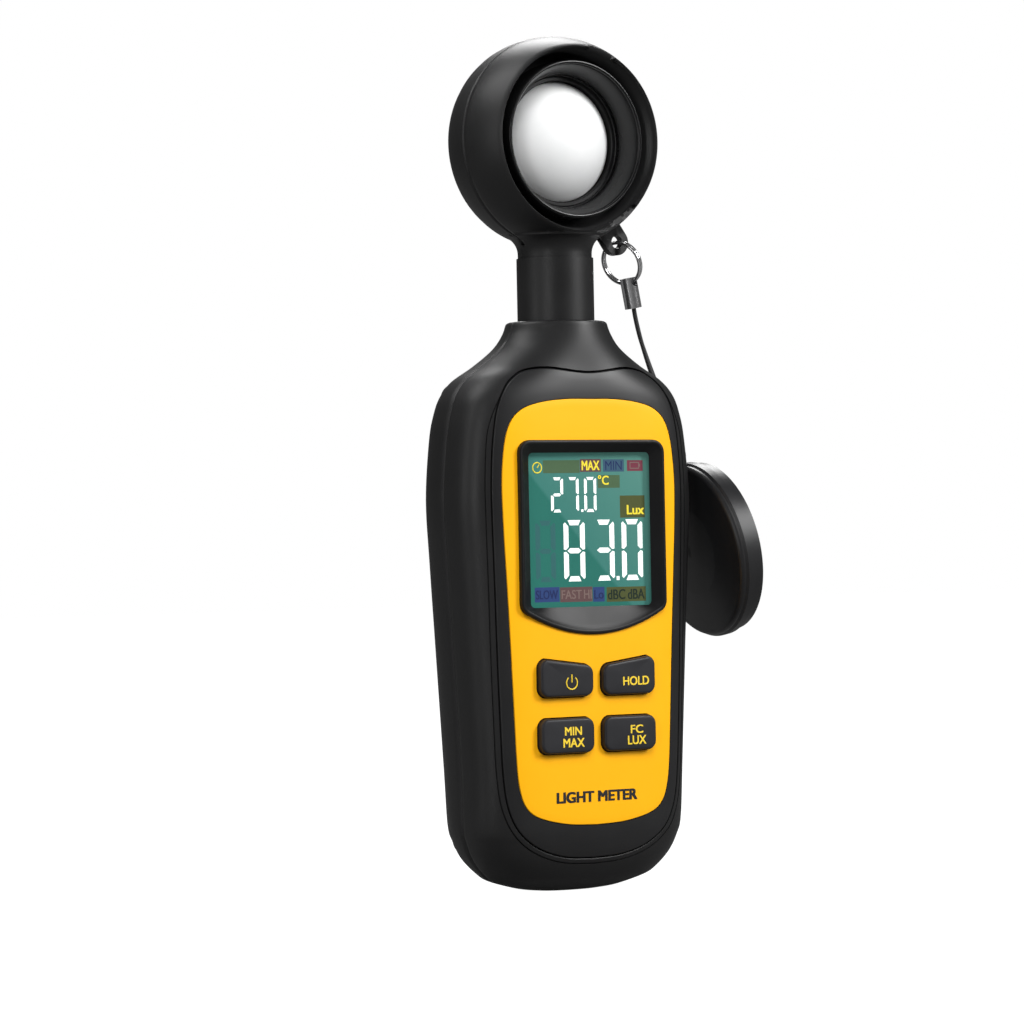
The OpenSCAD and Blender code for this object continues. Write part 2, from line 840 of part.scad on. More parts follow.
module diffuser_dome() {
    height = 6.4;
    base = 1.7;
    skin = 1.6;
    dome_r = (diffuser_r * diffuser_r + height * height) / (2 * height);
    inner_r = dome_r - skin;
    spread = asin(diffuser_r / dome_r);
    color("#f6f6f4")
        about_head_axis()
            polygon(concat(
                [[diffuser_r - 1.9, 0.2], [diffuser_r, 0.2]],
                arc(0, base + height - dome_r, dome_r, 90 - spread, 90, 14),
                arc(0, base + height - dome_r, inner_r, 90, 90 - spread + 6, 14)
            ));
}

module optical_filter() {
    color("#8fc9a4") about_head_axis() polygon([[0, -1], [5.5, -1], [5.5, 0.1], [0, 0.1]]);
}

module photodiode() {
    color(brass)
        about_head_axis()
            polygon([[0, -5.4], [4.6, -5.4], [4.6, -4.9], [4.1, -4.9], [4.1, -1.6], [3.8, -1.3], [0, -1.3]]);
}

module sensor_board() {
    color("#1f6b3a")
        difference() {
            about_head_axis() polygon([[0, -7.1], [12.6, -7.1], [12.6, -5.5], [0, -5.5]]);
            translate([0, swivel_y - 2, head_z - 10.9]) rotate([-90, 0, 0]) cylinder(r = 2.4, h = 20);
        }
}

// Lead from the sensor board down the middle of the neck, where it twists as the head turns.
module sensor_lead() {
    top = head_z - 13;
    color("#33343a") {
        translate([0, swivel_y, seat_z + 0.2]) cylinder(r = 1.4, h = top - seat_z - 0.2);
        translate([0, swivel_y, top - 0.5]) rotate([-65, 0, 0]) cylinder(r = 1.4, h = 7.2);
    }
}

module hang(lean = hang_lean) {
    translate([lug_x, lug_y, lug_z])
        rotate([0, -lean, 0])
            children();
}

module split_ring() {
    color(metal)
        hang()
            translate([0, 0, -ring_drop])
                rotate([0, 0, ring_turn])
                    rotate([0, 90, 0])
                        rotate_extrude($fn = 64)
                            translate([ring_r, 0]) {
                                translate([0, wire_r * 0.97]) circle(r = wire_r, $fn = 24);
                                translate([0, -wire_r * 0.97]) circle(r = wire_r, $fn = 24);
                            }
}

// Crimped tube at the top of the cord, open below for the cord and cross-drilled for the split ring.
module ferrule() {
    color(metal)
        translate([ferrule_x, lug_y, ferrule_z])
            rotate([0, -ferrule_lean, 0])
                difference() {
                    translate([0, 0, -5.3]) cylinder(r = 1.75, h = 6.3);
                    translate([0, 0, -6]) cylinder(r = 1.25, h = 3.6);
                    translate([0, 0, 0.15])
                        rotate([90, 0, ring_turn])
                            cylinder(r = 1, h = 8, center = true);
                }
}

function unit(v) = v / norm(v);

// Point on a smooth curve through p1 and p2 with its neighbours p0 and p3.
function smooth_point(p0, p1, p2, p3, t) =
    0.5 * (2 * p1 + t * (p2 - p0) + t * t * (2 * p0 - 5 * p1 + 4 * p2 - p3)
           + t * t * t * (3 * p1 - p0 - 3 * p2 + p3));

function smooth_path(route, steps) =
    let (last = len(route) - 1)
        concat(
            [for (k = [0:last - 1], i = [0:steps - 1])
                let (before = route[max(k - 1, 0)], after = route[min(k + 2, last)])
                    smooth_point(before, route[k], route[k + 1], after, i / steps)],
            [route[last]]
        );

// Rings of a round tube along a path, kept square to it with the Y axis as reference.
module tube(path, r, sides) {
    last = len(path) - 1;
    points = [
        for (k = [0:last])
            let (t = unit(path[min(k + 1, last)] - path[max(k - 1, 0)]),
                 u = unit(cross(t, [0, 1, 0])),
                 v = cross(u, t))
                for (i = [0:sides - 1])
                    path[k] + r * (cos(360 * i / sides) * u - sin(360 * i / sides) * v)
    ];
    polyhedron(points, skin_faces(last + 1, sides));
}

module lanyard_cord() {
    color("#17181a") tube(smooth_path(cord_route, 2), cord_d / 2, 8);
}

module sensor_cap() {
    rounding = 1.1;
    crown = 0.8;
    rim = 3.2;
    skirt_r = 17.9;
    color(key_black)
        translate([cap_x, cap_y, cap_z])
            rotate([0, -cap_tilt, cap_turn])
                difference() {
                    union() {
                        rotate([0, 90, 0])
                            rotate_extrude($fn = 96)
                                polygon(concat(
                                    [[0, -crown], [9, -crown * 0.8], [15, -crown * 0.25]],
                                    arc(cap_r - 0.4 - rounding, rounding, rounding, 270, 360, 5),
                                    [[cap_r, rounding + 0.5], [cap_r, rim], [skirt_r, rim + 0.3],
                                     [skirt_r, cap_depth], [skirt_r - 1.3, cap_depth],
                                     [skirt_r - 1.3, cap_wall], [0, cap_wall]]
                                ));
                        rotate([-tab_angle, 0, 0])
                            translate([0.2, 0, tab_out])
                                rotate([0, 90, 0])
                                    cylinder(r = 3, h = 1.8);
                    }
                    rotate([-tab_angle, 0, 0])
                        translate([-3, 0, tab_out])
                            rotate([0, 90, 0])
                                cylinder(r = 1.6, h = 8);
                }
}

front_shell();
rear_shell();
face_panel();
face_label();
display_surround();
display_window();
lcd_glass();
lcd_frame();
backlight();
contact_strips();
main_board();
board_chips();
key_switches();
buzzer();
temperature_bead();
board_screws();
power_key();
hold_key();
min_max_key();
unit_key();
battery_tray();
battery_cells();
battery_plates();
battery_springs();
battery_door();
tripod_insert();
case_screws();
swivel_bush();
swivel_seat();
wave_washer();
lower_lead();
neck_tube();
retaining_clip();
head_front_shell();
head_rear_shell();
sensor_collar();
diffuser_ring();
diffuser_dome();
optical_filter();
photodiode();
sensor_board();
head_screws();
sensor_lead();
split_ring();
ferrule();
lanyard_cord();
sensor_cap();
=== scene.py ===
"""Handheld light meter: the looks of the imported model.

Lengths are written in millimetres and turned into metres where a mesh is made. +Z is up, the front
faces -Y, and the head turns about a vertical axis at SWIVEL_Y.
"""
import json
import math

import bmesh
import bpy
from mathutils import Matrix, Vector


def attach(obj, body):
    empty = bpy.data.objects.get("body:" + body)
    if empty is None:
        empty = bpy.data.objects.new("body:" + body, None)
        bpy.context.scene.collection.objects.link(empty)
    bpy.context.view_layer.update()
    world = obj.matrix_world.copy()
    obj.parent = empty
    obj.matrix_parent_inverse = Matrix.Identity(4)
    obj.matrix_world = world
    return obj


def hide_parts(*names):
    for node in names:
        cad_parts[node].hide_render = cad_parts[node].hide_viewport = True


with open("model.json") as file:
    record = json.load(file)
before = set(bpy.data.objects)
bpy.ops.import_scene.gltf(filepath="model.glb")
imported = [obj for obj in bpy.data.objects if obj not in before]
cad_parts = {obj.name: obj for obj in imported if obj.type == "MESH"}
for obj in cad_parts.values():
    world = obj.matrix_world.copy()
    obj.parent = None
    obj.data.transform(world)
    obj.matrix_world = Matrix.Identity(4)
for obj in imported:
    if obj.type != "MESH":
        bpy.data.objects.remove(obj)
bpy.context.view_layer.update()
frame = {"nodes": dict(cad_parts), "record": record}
nodes = frame["nodes"]

MM = 0.001
SWIVEL_Y = -1.65
HEAD_Z = 152.85
HEAD_R = 21.65
FACE_Y = SWIVEL_Y - 12.4
WALL = 2.0


# ---------------------------------------------------------------- camera

CAMERA_AZIMUTH = -32.0
CAMERA_DISTANCE = 820.0
CAMERA_LENS = 140.6
CAMERA_ROLL = 1.1
AIM_RIGHT = -9.77
AIM_UP = 77.3
CAMERA_UP = 72.0


def make_camera():
    """Camera at the photograph's angle: level, to the left of the front, rolled a little."""
    a = math.radians(CAMERA_AZIMUTH)
    toward = Vector((math.sin(a), -math.cos(a), 0))
    right = Vector((math.cos(a), math.sin(a), 0))
    target = Vector((0, SWIVEL_Y, AIM_UP)) + right * AIM_RIGHT
    place = target + toward * CAMERA_DISTANCE
    place.z = CAMERA_UP
    turn = (target - place).to_track_quat("-Z", "Y").to_matrix().to_4x4()
    camera = bpy.data.objects.new("camera", bpy.data.cameras.new("camera"))
    camera.matrix_world = (
        Matrix.Translation(place * MM) @ turn @ Matrix.Rotation(math.radians(-CAMERA_ROLL), 4, "Z")
    )
    camera.data.lens = CAMERA_LENS
    camera.data.sensor_width = 36
    camera.data.clip_start = 0.01
    bpy.context.collection.objects.link(camera)
    bpy.context.scene.camera = camera


make_camera()


# ---------------------------------------------------------------- shapes

def spline(points, steps):
    """Catmull-Rom curve through the points, with each stretch cut into steps."""
    last = len(points) - 1
    points = [Vector(p) for p in points]
    out = []
    for k in range(last):
        p0, p1 = points[max(k - 1, 0)], points[k]
        p2, p3 = points[k + 1], points[min(k + 2, last)]
        for i in range(steps):
            t = i / steps
            out.append(
                0.5 * (2 * p1 + t * (p2 - p0) + t * t * (2 * p0 - 5 * p1 + 4 * p2 - p3)
                       + t ** 3 * (3 * p1 - p0 - 3 * p2 + p3))
            )
    out.append(points[last])
    return out


def resample(points, count, closed=False):
    """The same line as count points at equal distances along it."""
    points = [Vector(p) for p in points]
    if closed:
        points = points + [points[0]]
    lengths = [0.0]
    for p, q in zip(points, points[1:]):
        lengths.append(lengths[-1] + (q - p).length)
    total = lengths[-1]
    out = []
    k = 0
    for i in range(count):
        want = total * i / (count if closed else count - 1)
        while k < len(points) - 2 and lengths[k + 1] < want:
            k += 1
        span = lengths[k + 1] - lengths[k]
        out.append(points[k].lerp(points[k + 1], (want - lengths[k]) / span if span else 0))
    return out


def mirrored(half):
    """Closed outline from its right half, which runs from the top middle to the bottom middle."""
    left = [Vector((-p.x, p.y)) for p in reversed(half) if abs(p.x) > 1e-6]
    return list(half) + left


def inset(outline, distance):
    """Closed 2D outline (clockwise) moved inwards by a distance, or outwards if it is negative."""
    count = len(outline)
    out = []
    for i, p in enumerate(outline):
        along = (outline[(i + 1) % count] - outline[i - 1]).normalized()
        out.append(p + Vector((along.y, -along.x)) * distance)
    return out


def add_mesh(name, points, faces, crease=40):
    """New mesh object from points in millimetres, smooth but for edges sharper than crease degrees."""
    mesh = bpy.data.meshes.new(name)
    mesh.from_pydata([Vector(p) * MM for p in points], [], faces)
    mesh.validate()
    mesh.update()
    piece = bpy.data.objects.new(name, mesh)
    bpy.context.collection.objects.link(piece)
    smooth(piece, crease)
    return piece


def smooth(piece, crease=40):
    piece.data.polygons.foreach_set("use_smooth", [True] * len(piece.data.polygons))
    piece.data.set_sharp_from_angle(angle=math.radians(crease))


def loft(name, rings, ends=(True, True), crease=40):
    """Skin through closed rings of equal length, with flat ends if asked."""
    count = len(rings[0])
    points = [p for ring in rings for p in ring]
    faces = []
    for j in range(len(rings) - 1):
        for i in range(count):
            a, b = j * count + i, j * count + (i + 1) % count
            faces.append((a, b, b + count, a + count))
    if ends[0]:
        faces.append(tuple(reversed(range(count))))
    if ends[1]:
        start = (len(rings) - 1) * count
        faces.append(tuple(range(start, start + count)))
    return add_mesh(name, points, faces, crease)


def revolve(name, profile, sides=160, crease=35):
    """Solid of revolution from (radius, height) points, about the head's level axis."""
    rings = []
    for r, h in profile:
        ring = []
        for i in range(sides):
            t = 2 * math.pi * i / sides
            x, v = r * math.cos(t), r * math.sin(t)
            ring.append((x, SWIVEL_Y - h, HEAD_Z + v))
        rings.append(ring)
    rings.append(rings[0])
    piece = loft(name, rings, ends=(False, False), crease=crease)
    weld(piece)
    return piece


def weld(piece, distance=0.0005):
    """Join points closer than distance, in millimetres, and point all faces outwards."""
    work = bmesh.new()
    work.from_mesh(piece.data)
    bmesh.ops.remove_doubles(work, verts=work.verts, dist=distance * MM)
    bmesh.ops.recalc_face_normals(work, faces=work.faces)
    if work.calc_volume(signed=True) < 0:
        bmesh.ops.reverse_faces(work, faces=work.faces)
    work.to_mesh(piece.data)
    work.free()


def cut(piece, cutters, join=False, crease=40):
    """Take the cutters' solids out of a piece, or add them to it, and drop them."""
    for cutter in cutters:
        change = piece.modifiers.new("cut", "BOOLEAN")
        change.operation = "UNION" if join else "DIFFERENCE"
        change.solver = "EXACT"
        change.object = cutter
    bpy.context.view_layer.update()
    graph = bpy.context.evaluated_depsgraph_get()
    mesh = bpy.data.meshes.new_from_object(piece.evaluated_get(graph))
    piece.modifiers.clear()
    piece.data = mesh
    for cutter in cutters:
        bpy.data.objects.remove(cutter)
    smooth(piece, crease)


def tube(name, path, radius, sides=12, closed=False):
    """Round tube along a path in millimetres."""
    count = len(path)
    rings = []
    normal = None
    for k in range(count):
        ahead = path[(k + 1) % count] if closed else path[min(k + 1, count - 1)]
        behind = path[k - 1] if closed else path[max(k - 1, 0)]
        along = (ahead - behind).normalized()
        if normal is None:
            normal = along.orthogonal().normalized()
        normal = (normal - along * normal.dot(along)).normalized()
        side = along.cross(normal)
        rings.append([
            path[k] + radius * (math.cos(2 * math.pi * i / sides) * normal
                                + math.sin(2 * math.pi * i / sides) * side)
            for i in range(sides)
        ])
    if closed:
        rings.append(rings[0])
    piece = loft(name, rings, ends=(not closed, not closed), crease=60)
    weld(piece)
    return piece


def extrusion(name, outline, y0, y1):
    """Solid between two depths with an outline in X and Z."""
    return loft(name, [[(p.x, y, p.y) for p in outline] for y in (y0, y1)], crease=30)


# ---------------------------------------------------------------- materials

def node_material(name):
    made = bpy.data.materials.new(name)
    made.use_nodes = True
    tree = made.node_tree
    shader = tree.nodes["Principled BSDF"]
    place = tree.nodes.new("ShaderNodeTexCoord").outputs["Object"]
    return made, tree, shader, place


def noise(tree, place, scale, detail=3.0, roughness=0.55, stretch=None):
    """Noise with its scale in bumps per millimetre."""
    if stretch:
        mapping = tree.nodes.new("ShaderNodeMapping")
        mapping.inputs["Scale"].default_value = stretch
        tree.links.new(place, mapping.inputs["Vector"])
        place = mapping.outputs["Vector"]
    made = tree.nodes.new("ShaderNodeTexNoise")
    made.inputs["Scale"].default_value = scale / MM
    made.inputs["Detail"].default_value = detail
    made.inputs["Roughness"].default_value = roughness
    tree.links.new(place, made.inputs["Vector"])
    return made.outputs["Fac"]


def ramp(tree, value, stops):
    """Colour ramp with (position, colour) stops."""
    made = tree.nodes.new("ShaderNodeValToRGB")
    while len(made.color_ramp.elements) < len(stops):
        made.color_ramp.elements.new(0.5)
    for element, (position, colour) in zip(made.color_ramp.elements, stops):
        element.position = position
        element.color = (*colour, 1)
    tree.links.new(value, made.inputs["Fac"])
    return made.outputs["Color"]


def bump(tree, height, distance, strength=1.0, after=None):
    """Bump of a height map, with its distance in millimetres."""
    made = tree.nodes.new("ShaderNodeBump")
    made.inputs["Distance"].default_value = distance * MM
    made.inputs["Strength"].default_value = strength
    tree.links.new(height, made.inputs["Height"])
    if after:
        tree.links.new(after, made.inputs["Normal"])
    return made.outputs["Normal"]


def rescale(tree, value, low, high):
    made = tree.nodes.new("ShaderNodeMapRange")
    made.inputs["From Min"].default_value = 0.3
    made.inputs["From Max"].default_value = 0.7
    made.inputs["To Min"].default_value = low
    made.inputs["To Max"].default_value = high
    tree.links.new(value, made.inputs["Value"])
    return made.outputs["Result"]


def plastic(name, colour, shine=(0.4, 0.5), grain=8.0, depth=0.006, mottle=0.12, gloss=0.5):
    """Moulded plastic: slight mottling, a fine grain and a roughness that varies over the surface."""
    made, tree, shader, place = node_material(name)
    broad = noise(tree, place, 0.06, 4)
    fine = noise(tree, place, grain, 2)
    dark = [c * (1 - mottle) for c in colour]
    light = [min(c * (1 + mottle), 1) for c in colour]
    tree.links.new(ramp(tree, broad, [(0.3, dark), (0.7, light)]), shader.inputs["Base Color"])
    tree.links.new(rescale(tree, broad, *shine), shader.inputs["Roughness"])
    tree.links.new(bump(tree, fine, depth), shader.inputs["Normal"])
    shader.inputs["Specular IOR Level"].default_value = gloss
    return made


def metal(name, colour, shine=(0.12, 0.25), stretch=(1, 1, 1), grain=2.0, depth=0.002, share=1.0):
    """Metal with fine drawn or turned marks along one direction. Share below 1 clouds the plating."""
    made, tree, shader, place = node_material(name)
    marks = noise(tree, place, grain, 5, 0.7, stretch)
    dark = [c * 0.86 for c in colour]
    tree.links.new(ramp(tree, marks, [(0.3, dark), (0.65, colour)]), shader.inputs["Base Color"])
    tree.links.new(rescale(tree, marks, *shine), shader.inputs["Roughness"])
    tree.links.new(bump(tree, marks, depth), shader.inputs["Normal"])
    shader.inputs["Metallic"].default_value = share
    return made


def printed(name, colour, shine=(0.45, 0.55)):
    """Ink: almost flat, with a faint screen-print unevenness."""
    return plastic(name, colour, shine, grain=3.0, depth=0.001, mottle=0.04)


def board_material(name):
    """Circuit board: green solder mask over copper runs."""
    made, tree, shader, place = node_material(name)
    cells = tree.nodes.new("ShaderNodeTexVoronoi")
    cells.distance = "CHEBYCHEV"
    cells.feature = "DISTANCE_TO_EDGE"
    cells.inputs["Scale"].default_value = 0.35 / MM
    tree.links.new(place, cells.inputs["Vector"])
    runs = cells.outputs["Distance"]
    colours = [(0.05, (0.03, 0.16, 0.06)), (0.09, (0.008, 0.085, 0.03)), (0.5, (0.01, 0.1, 0.035))]
    tree.links.new(ramp(tree, runs, colours), shader.inputs["Base Color"])
    tree.links.new(bump(tree, runs, 0.03, 0.4), shader.inputs["Normal"])
    shader.inputs["Roughness"].default_value = 0.3
    return made


def cell_sleeve_material(name):
    """Battery sleeve: dark body with a coloured band at the stud end and a fine print grain."""
    made, tree, shader, place = node_material(name)
    split = tree.nodes.new("ShaderNodeSeparateXYZ")
    tree.links.new(place, split.inputs[0])
    along = tree.nodes.new("ShaderNodeMapRange")
    along.inputs["From Min"].default_value = 20 * MM
    along.inputs["From Max"].default_value = 64.5 * MM
    tree.links.new(split.outputs["Z"], along.inputs["Value"])
    stops = [(0.0, (0.55, 0.55, 0.52)), (0.035, (0.02, 0.06, 0.12)), (0.3, (0.02, 0.06, 0.12)),
             (0.31, (0.5, 0.3, 0.05)), (0.34, (0.02, 0.05, 0.1)), (0.965, (0.02, 0.05, 0.1)),
             (0.97, (0.55, 0.55, 0.52))]
    tree.links.new(ramp(tree, along.outputs["Result"], stops), shader.inputs["Base Color"])
    grain = noise(tree, place, 3.0)
    tree.links.new(bump(tree, grain, 0.002), shader.inputs["Normal"])
    shader.inputs["Metallic"].default_value = 0.35
    shader.inputs["Roughness"].default_value = 0.3
    return made


def display_material(name):
    """Lit teal liquid crystal with a painted reflection: darker towards the lower left, lighter towards the
    upper right, with a soft slanting reflection edge.
    """
    made, tree, shader, place = node_material(name)
    split = tree.nodes.new("ShaderNodeSeparateXYZ")
    tree.links.new(place, split.inputs[0])
    slant = tree.nodes.new("ShaderNodeMath")
    slant.operation = "MULTIPLY_ADD"
    slant.inputs[1].default_value = 1.12
    tree.links.new(split.outputs["X"], slant.inputs[0])
    tree.links.new(split.outputs["Z"], slant.inputs[2])
    across = tree.nodes.new("ShaderNodeMapRange")
    across.inputs["From Min"].default_value = 40 * MM
    across.inputs["From Max"].default_value = 106 * MM
    tree.links.new(slant.outputs[0], across.inputs["Value"])
    # Painted reflection: the teal is the display's own colour, but the lighter upper right and the soft step
    # between 0.44 and 0.455 are a reflection painted into the colour and its emission.
    stops = [(0.0, (0.021, 0.145, 0.115)), (0.44, (0.023, 0.14, 0.112)), (0.455, (0.045, 0.175, 0.15)),
             (1.0, (0.085, 0.225, 0.19))]
    teal_with_painted_reflection = ramp(tree, across.outputs["Result"], stops)
    grain = noise(tree, place, 6.0)
    tree.links.new(teal_with_painted_reflection, shader.inputs["Base Color"])
    tree.links.new(teal_with_painted_reflection, shader.inputs["Emission Color"])
    tree.links.new(bump(tree, grain, 0.001), shader.inputs["Normal"])
    shader.inputs["Emission Strength"].default_value = 0.35
    shader.inputs["Roughness"].default_value = 0.45
    shader.inputs["Specular IOR Level"].default_value = 0.05
    return made


def lit(name, colour, strength):
    """A lit or dim part of the display's artwork."""
    made, tree, shader, place = node_material(name)
    grain = noise(tree, place, 5.0)
    dim = [c * 0.94 for c in colour]
    tint = ramp(tree, grain, [(0.35, dim), (0.65, colour)])
    tree.links.new(tint, shader.inputs["Base Color"])
    tree.links.new(tint, shader.inputs["Emission Color"])
    shader.inputs["Emission Strength"].default_value = strength
    shader.inputs["Roughness"].default_value = 0.5
    shader.inputs["Specular IOR Level"].default_value = 0.05
    return made


def clear_material(name):
    """Thin clear acrylic with faint wipe marks in its gloss."""
    made, tree, shader, place = node_material(name)
    wipe = noise(tree, place, 0.25, 3, 0.6, (1, 1, 0.2))
    tree.links.new(rescale(tree, wipe, 0.02, 0.08), shader.inputs["Roughness"])
    tint = ramp(tree, wipe, [(0.3, (0.03, 0.045, 0.043)), (0.7, (0.04, 0.055, 0.053))])
    tree.links.new(tint, shader.inputs["Base Color"])
    shader.inputs["Alpha"].default_value = 0.06
    shader.inputs["IOR"].default_value = 1.45
    shader.inputs["Specular IOR Level"].default_value = 0.3
    made.surface_render_method = "BLENDED"
    return made


def diffuser_material(name):
    """Frosted white plastic that light sinks into a little."""
    made, tree, shader, place = node_material(name)
    broad = noise(tree, place, 0.1)
    fine = noise(tree, place, 7.0)
    tint = ramp(tree, broad, [(0.3, (0.77, 0.78, 0.78)), (0.7, (0.81, 0.815, 0.815))])
    tree.links.new(tint, shader.inputs["Base Color"])
    tree.links.new(bump(tree, fine, 0.003), shader.inputs["Normal"])
    shader.inputs["Roughness"].default_value = 0.5
    shader.inputs["Subsurface Weight"].default_value = 0.25
    shader.inputs["Subsurface Radius"].default_value = (0.0015, 0.0015, 0.0014)
    return made


def braid_material(name):
    """Braided black cord: crossed strands in a fine wave, with painted shade that darkens the low parts
    between the strands.
    """
    made, tree, shader, place = node_material(name)
    heights = []
    for lean in (1, -1):
        mapping = tree.nodes.new("ShaderNodeMapping")
        mapping.inputs["Rotation"].default_value = (0, math.radians(45 * lean), 0)
        tree.links.new(place, mapping.inputs["Vector"])
        wave = tree.nodes.new("ShaderNodeTexWave")
        wave.inputs["Scale"].default_value = 0.9 / MM
        wave.inputs["Distortion"].default_value = 0.6
        tree.links.new(mapping.outputs["Vector"], wave.inputs["Vector"])
        heights.append(wave.outputs["Fac"])
    both = tree.nodes.new("ShaderNodeMath")
    both.operation = "MAXIMUM"
    tree.links.new(heights[0], both.inputs[0])
    tree.links.new(heights[1], both.inputs[1])
    height = both.outputs[0]
    # Painted shade: the colour follows the weave's height, so the hollows between strands are darker.
    tree.links.new(ramp(tree, height, [(0.2, (0.004, 0.004, 0.004)), (1, (0.02, 0.02, 0.021))]),
                   shader.inputs["Base Color"])
    tree.links.new(bump(tree, height, 0.06), shader.inputs["Normal"])
    shader.inputs["Roughness"].default_value = 0.75
    shader.inputs["Sheen Weight"].default_value = 0.3
    return made


BLACK = (0.0085, 0.0085, 0.0088)
MATERIALS = {
    "casing_black": plastic("casing_black", BLACK, (0.4, 0.48), grain=7.0, depth=0.01, gloss=0.4),
    "panel_satin": plastic("panel_satin", (0.011, 0.011, 0.0115), (0.36, 0.42), grain=5.0, depth=0.002,
                           gloss=0.36),
    "label_yellow": plastic("label_yellow", (0.96, 0.45, 0.004), (0.42, 0.48), grain=2.0, depth=0.001,
                            mottle=0.02, gloss=0.22),
    "surround_black": plastic("surround_black", (0.006, 0.006, 0.0064), (0.36, 0.42), grain=6.0, depth=0.003,
                              gloss=0.22),
    "window_clear": clear_material("window_clear"),
    "lcd_teal": display_material("lcd_teal"),
    "frame_white": plastic("frame_white", (0.7, 0.7, 0.67), (0.4, 0.5)),
    "backlight_white": plastic("backlight_white", (0.85, 0.87, 0.84), (0.15, 0.25), depth=0.001),
    "strip_pink": plastic("strip_pink", (0.55, 0.2, 0.26), (0.6, 0.7)),
    "board_green": board_material("board_green"),
    "chip_black": plastic("chip_black", (0.015, 0.015, 0.016), (0.45, 0.6), grain=12.0, depth=0.01),
    "switch_steel": metal("switch_steel", (0.62, 0.62, 0.6), stretch=(1, 1, 8)),
    "bead_brown": plastic("bead_brown", (0.12, 0.05, 0.02), (0.15, 0.25)),
    "screw_steel": metal("screw_steel", (0.6, 0.6, 0.62), (0.2, 0.35)),
    "screw_black": metal("screw_black", (0.05, 0.05, 0.052), (0.3, 0.45)),
    "key_grey": plastic("key_grey", (0.014, 0.014, 0.0165), (0.42, 0.5), grain=7.0, depth=0.004, gloss=0.35),
    "cell_sleeve": cell_sleeve_material("cell_sleeve"),
    "contact_nickel": metal("contact_nickel", (0.72, 0.7, 0.66), (0.15, 0.3)),
    "insert_brass": metal("insert_brass", (0.6, 0.42, 0.14), (0.2, 0.35), grain=4.0),
    "bush_nylon": plastic("bush_nylon", (0.02, 0.02, 0.021), (0.35, 0.45)),
    "spring_steel": metal("spring_steel", (0.42, 0.42, 0.43), (0.2, 0.35)),
    "lead_black": plastic("lead_black", (0.02, 0.02, 0.022), (0.45, 0.6)),
    "diffuser_white": diffuser_material("diffuser_white"),
    "filter_green": plastic("filter_green", (0.2, 0.5, 0.3), (0.05, 0.1), depth=0.0005),
    "can_gold": metal("can_gold", (0.75, 0.55, 0.22), (0.15, 0.25)),
    "ring_chrome": metal("ring_chrome", (0.7, 0.7, 0.71), (0.14, 0.2), depth=0.0001, share=0.95),
    "cord_black": braid_material("cord_black"),
    "cap_black": plastic("cap_black", (0.01, 0.01, 0.011), (0.34, 0.42), grain=6.0, depth=0.006),
}
COLLAR_BLACK = plastic("collar_black", (0.004, 0.004, 0.0043), (0.24, 0.3), grain=6.0, depth=0.001,
                       gloss=0.35)
INK_YELLOW = printed("ink_yellow", (0.85, 0.6, 0.03))
INK_BLACK = printed("ink_black", (0.008, 0.008, 0.009))

for entry in frame["record"]["subparts"]:
    mesh = nodes[entry["node"]].data
    mesh.materials.clear()
    mesh.materials.append(MATERIALS[entry["material_slot"]])


def dress(piece, body, slot, material=None, replaces=()):
    """Give a piece its body and its material, the slot's own unless another is given, and hide the nodes
    that it stands for.
    """
    piece.data.materials.clear()
    piece.data.materials.append(material or MATERIALS[slot])
    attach(piece, body)
    if replaces:
        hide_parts(*replaces)


# ---------------------------------------------------------------- lanyard cord

CORD_D = 0.9
CORD_ROUTE = [
    (18.5, -2.6, 120.2), (19, -2.5, 117.5), (20.3, -2.3, 113), (22, -2, 108.5), (23.8, -1.6, 104.4),
    (25.5, -1, 100.8), (26.9, -0.3, 97.4), (28, 0.4, 94.2), (28.6, 0.85, 91.3), (29.25, 0.9, 89.7),
    (30.5, 0.9, 88.9), (31.8, 0.9, 89.6), (32.3, 0.9, 91.3), (31.7, 0.95, 93.6), (30.3, 0.9, 96),
    (28.3, 0.6, 98.9), (26.6, 0.1, 101.8), (24.8, -0.4, 105), (22.8, -0.9, 108.9), (20.9, -1.3, 113.1),
    (19.5, -1.7, 117.4), (19, -1.8, 120.2),
]


def make_cord():
    """Thin braided cord in two strands, from the ferrule through the cap's tab and back."""
    route = spline(CORD_ROUTE, 3)
    curve = bpy.data.curves.new("lanyard_cord_braid", "CURVE")
    curve.dimensions = "3D"
    line = curve.splines.new("POLY")
    line.points.add(len(route) - 1)
    for point, place in zip(line.points, route):
        point.co = (*(place * MM), 1)
    curve.bevel_depth = CORD_D / 2 * MM
    curve.bevel_resolution = 4
    curve.use_fill_caps = True
    piece = bpy.data.objects.new("lanyard_cord_braid", curve)
    bpy.context.collection.objects.link(piece)
    dress(piece, "lanyard", "cord_black", replaces=["lanyard_cord"])


make_cord()


# ---------------------------------------------------------------- casing

# Height, half width, depth ahead of and behind the swivel, squareness of the front and of the back
SECTIONS = [
    (0, 7, 3.5, 3.8, 2.2, 2.2), (0.6, 11.7, 5.5, 6, 2.4, 2.2), (2.3, 17.7, 7.9, 8.8, 2.6, 2.4),
    (4, 20.2, 9.3, 10.7, 2.8, 2.5), (7, 22.7, 10.7, 12.9, 3.1, 2.7), (10.5, 24.2, 11.5, 14.3, 3.4, 2.8),
    (14, 24.9, 11.9, 15.1, 3.6, 2.9), (25, 25.1, 12.1, 15.9, 4, 3), (50, 26.4, 12.3, 16.6, 4, 3),
    (67, 27.4, 12.4, 16.8, 4, 3), (80, 28, 12.4, 16.9, 4, 3), (92, 27, 12.4, 16.7, 4, 3),
    (97.5, 25.9, 12.3, 16.1, 3.9, 3), (101, 24.6, 12.2, 15.5, 3.6, 2.9), (104, 22.3, 11.9, 14.7, 3, 2.7),
    (107, 18, 11.5, 13.4, 2.4, 2.3), (110.5, 13.5, 11.1, 11.9, 2.1, 2.1), (113.5, 11.3, 10.7, 10.8, 2, 2),
    (116, 10.3, 10.3, 10.3, 2, 2),
]
ROWS_PER_SECTION = 6
COLLAR_BORE = 9.3


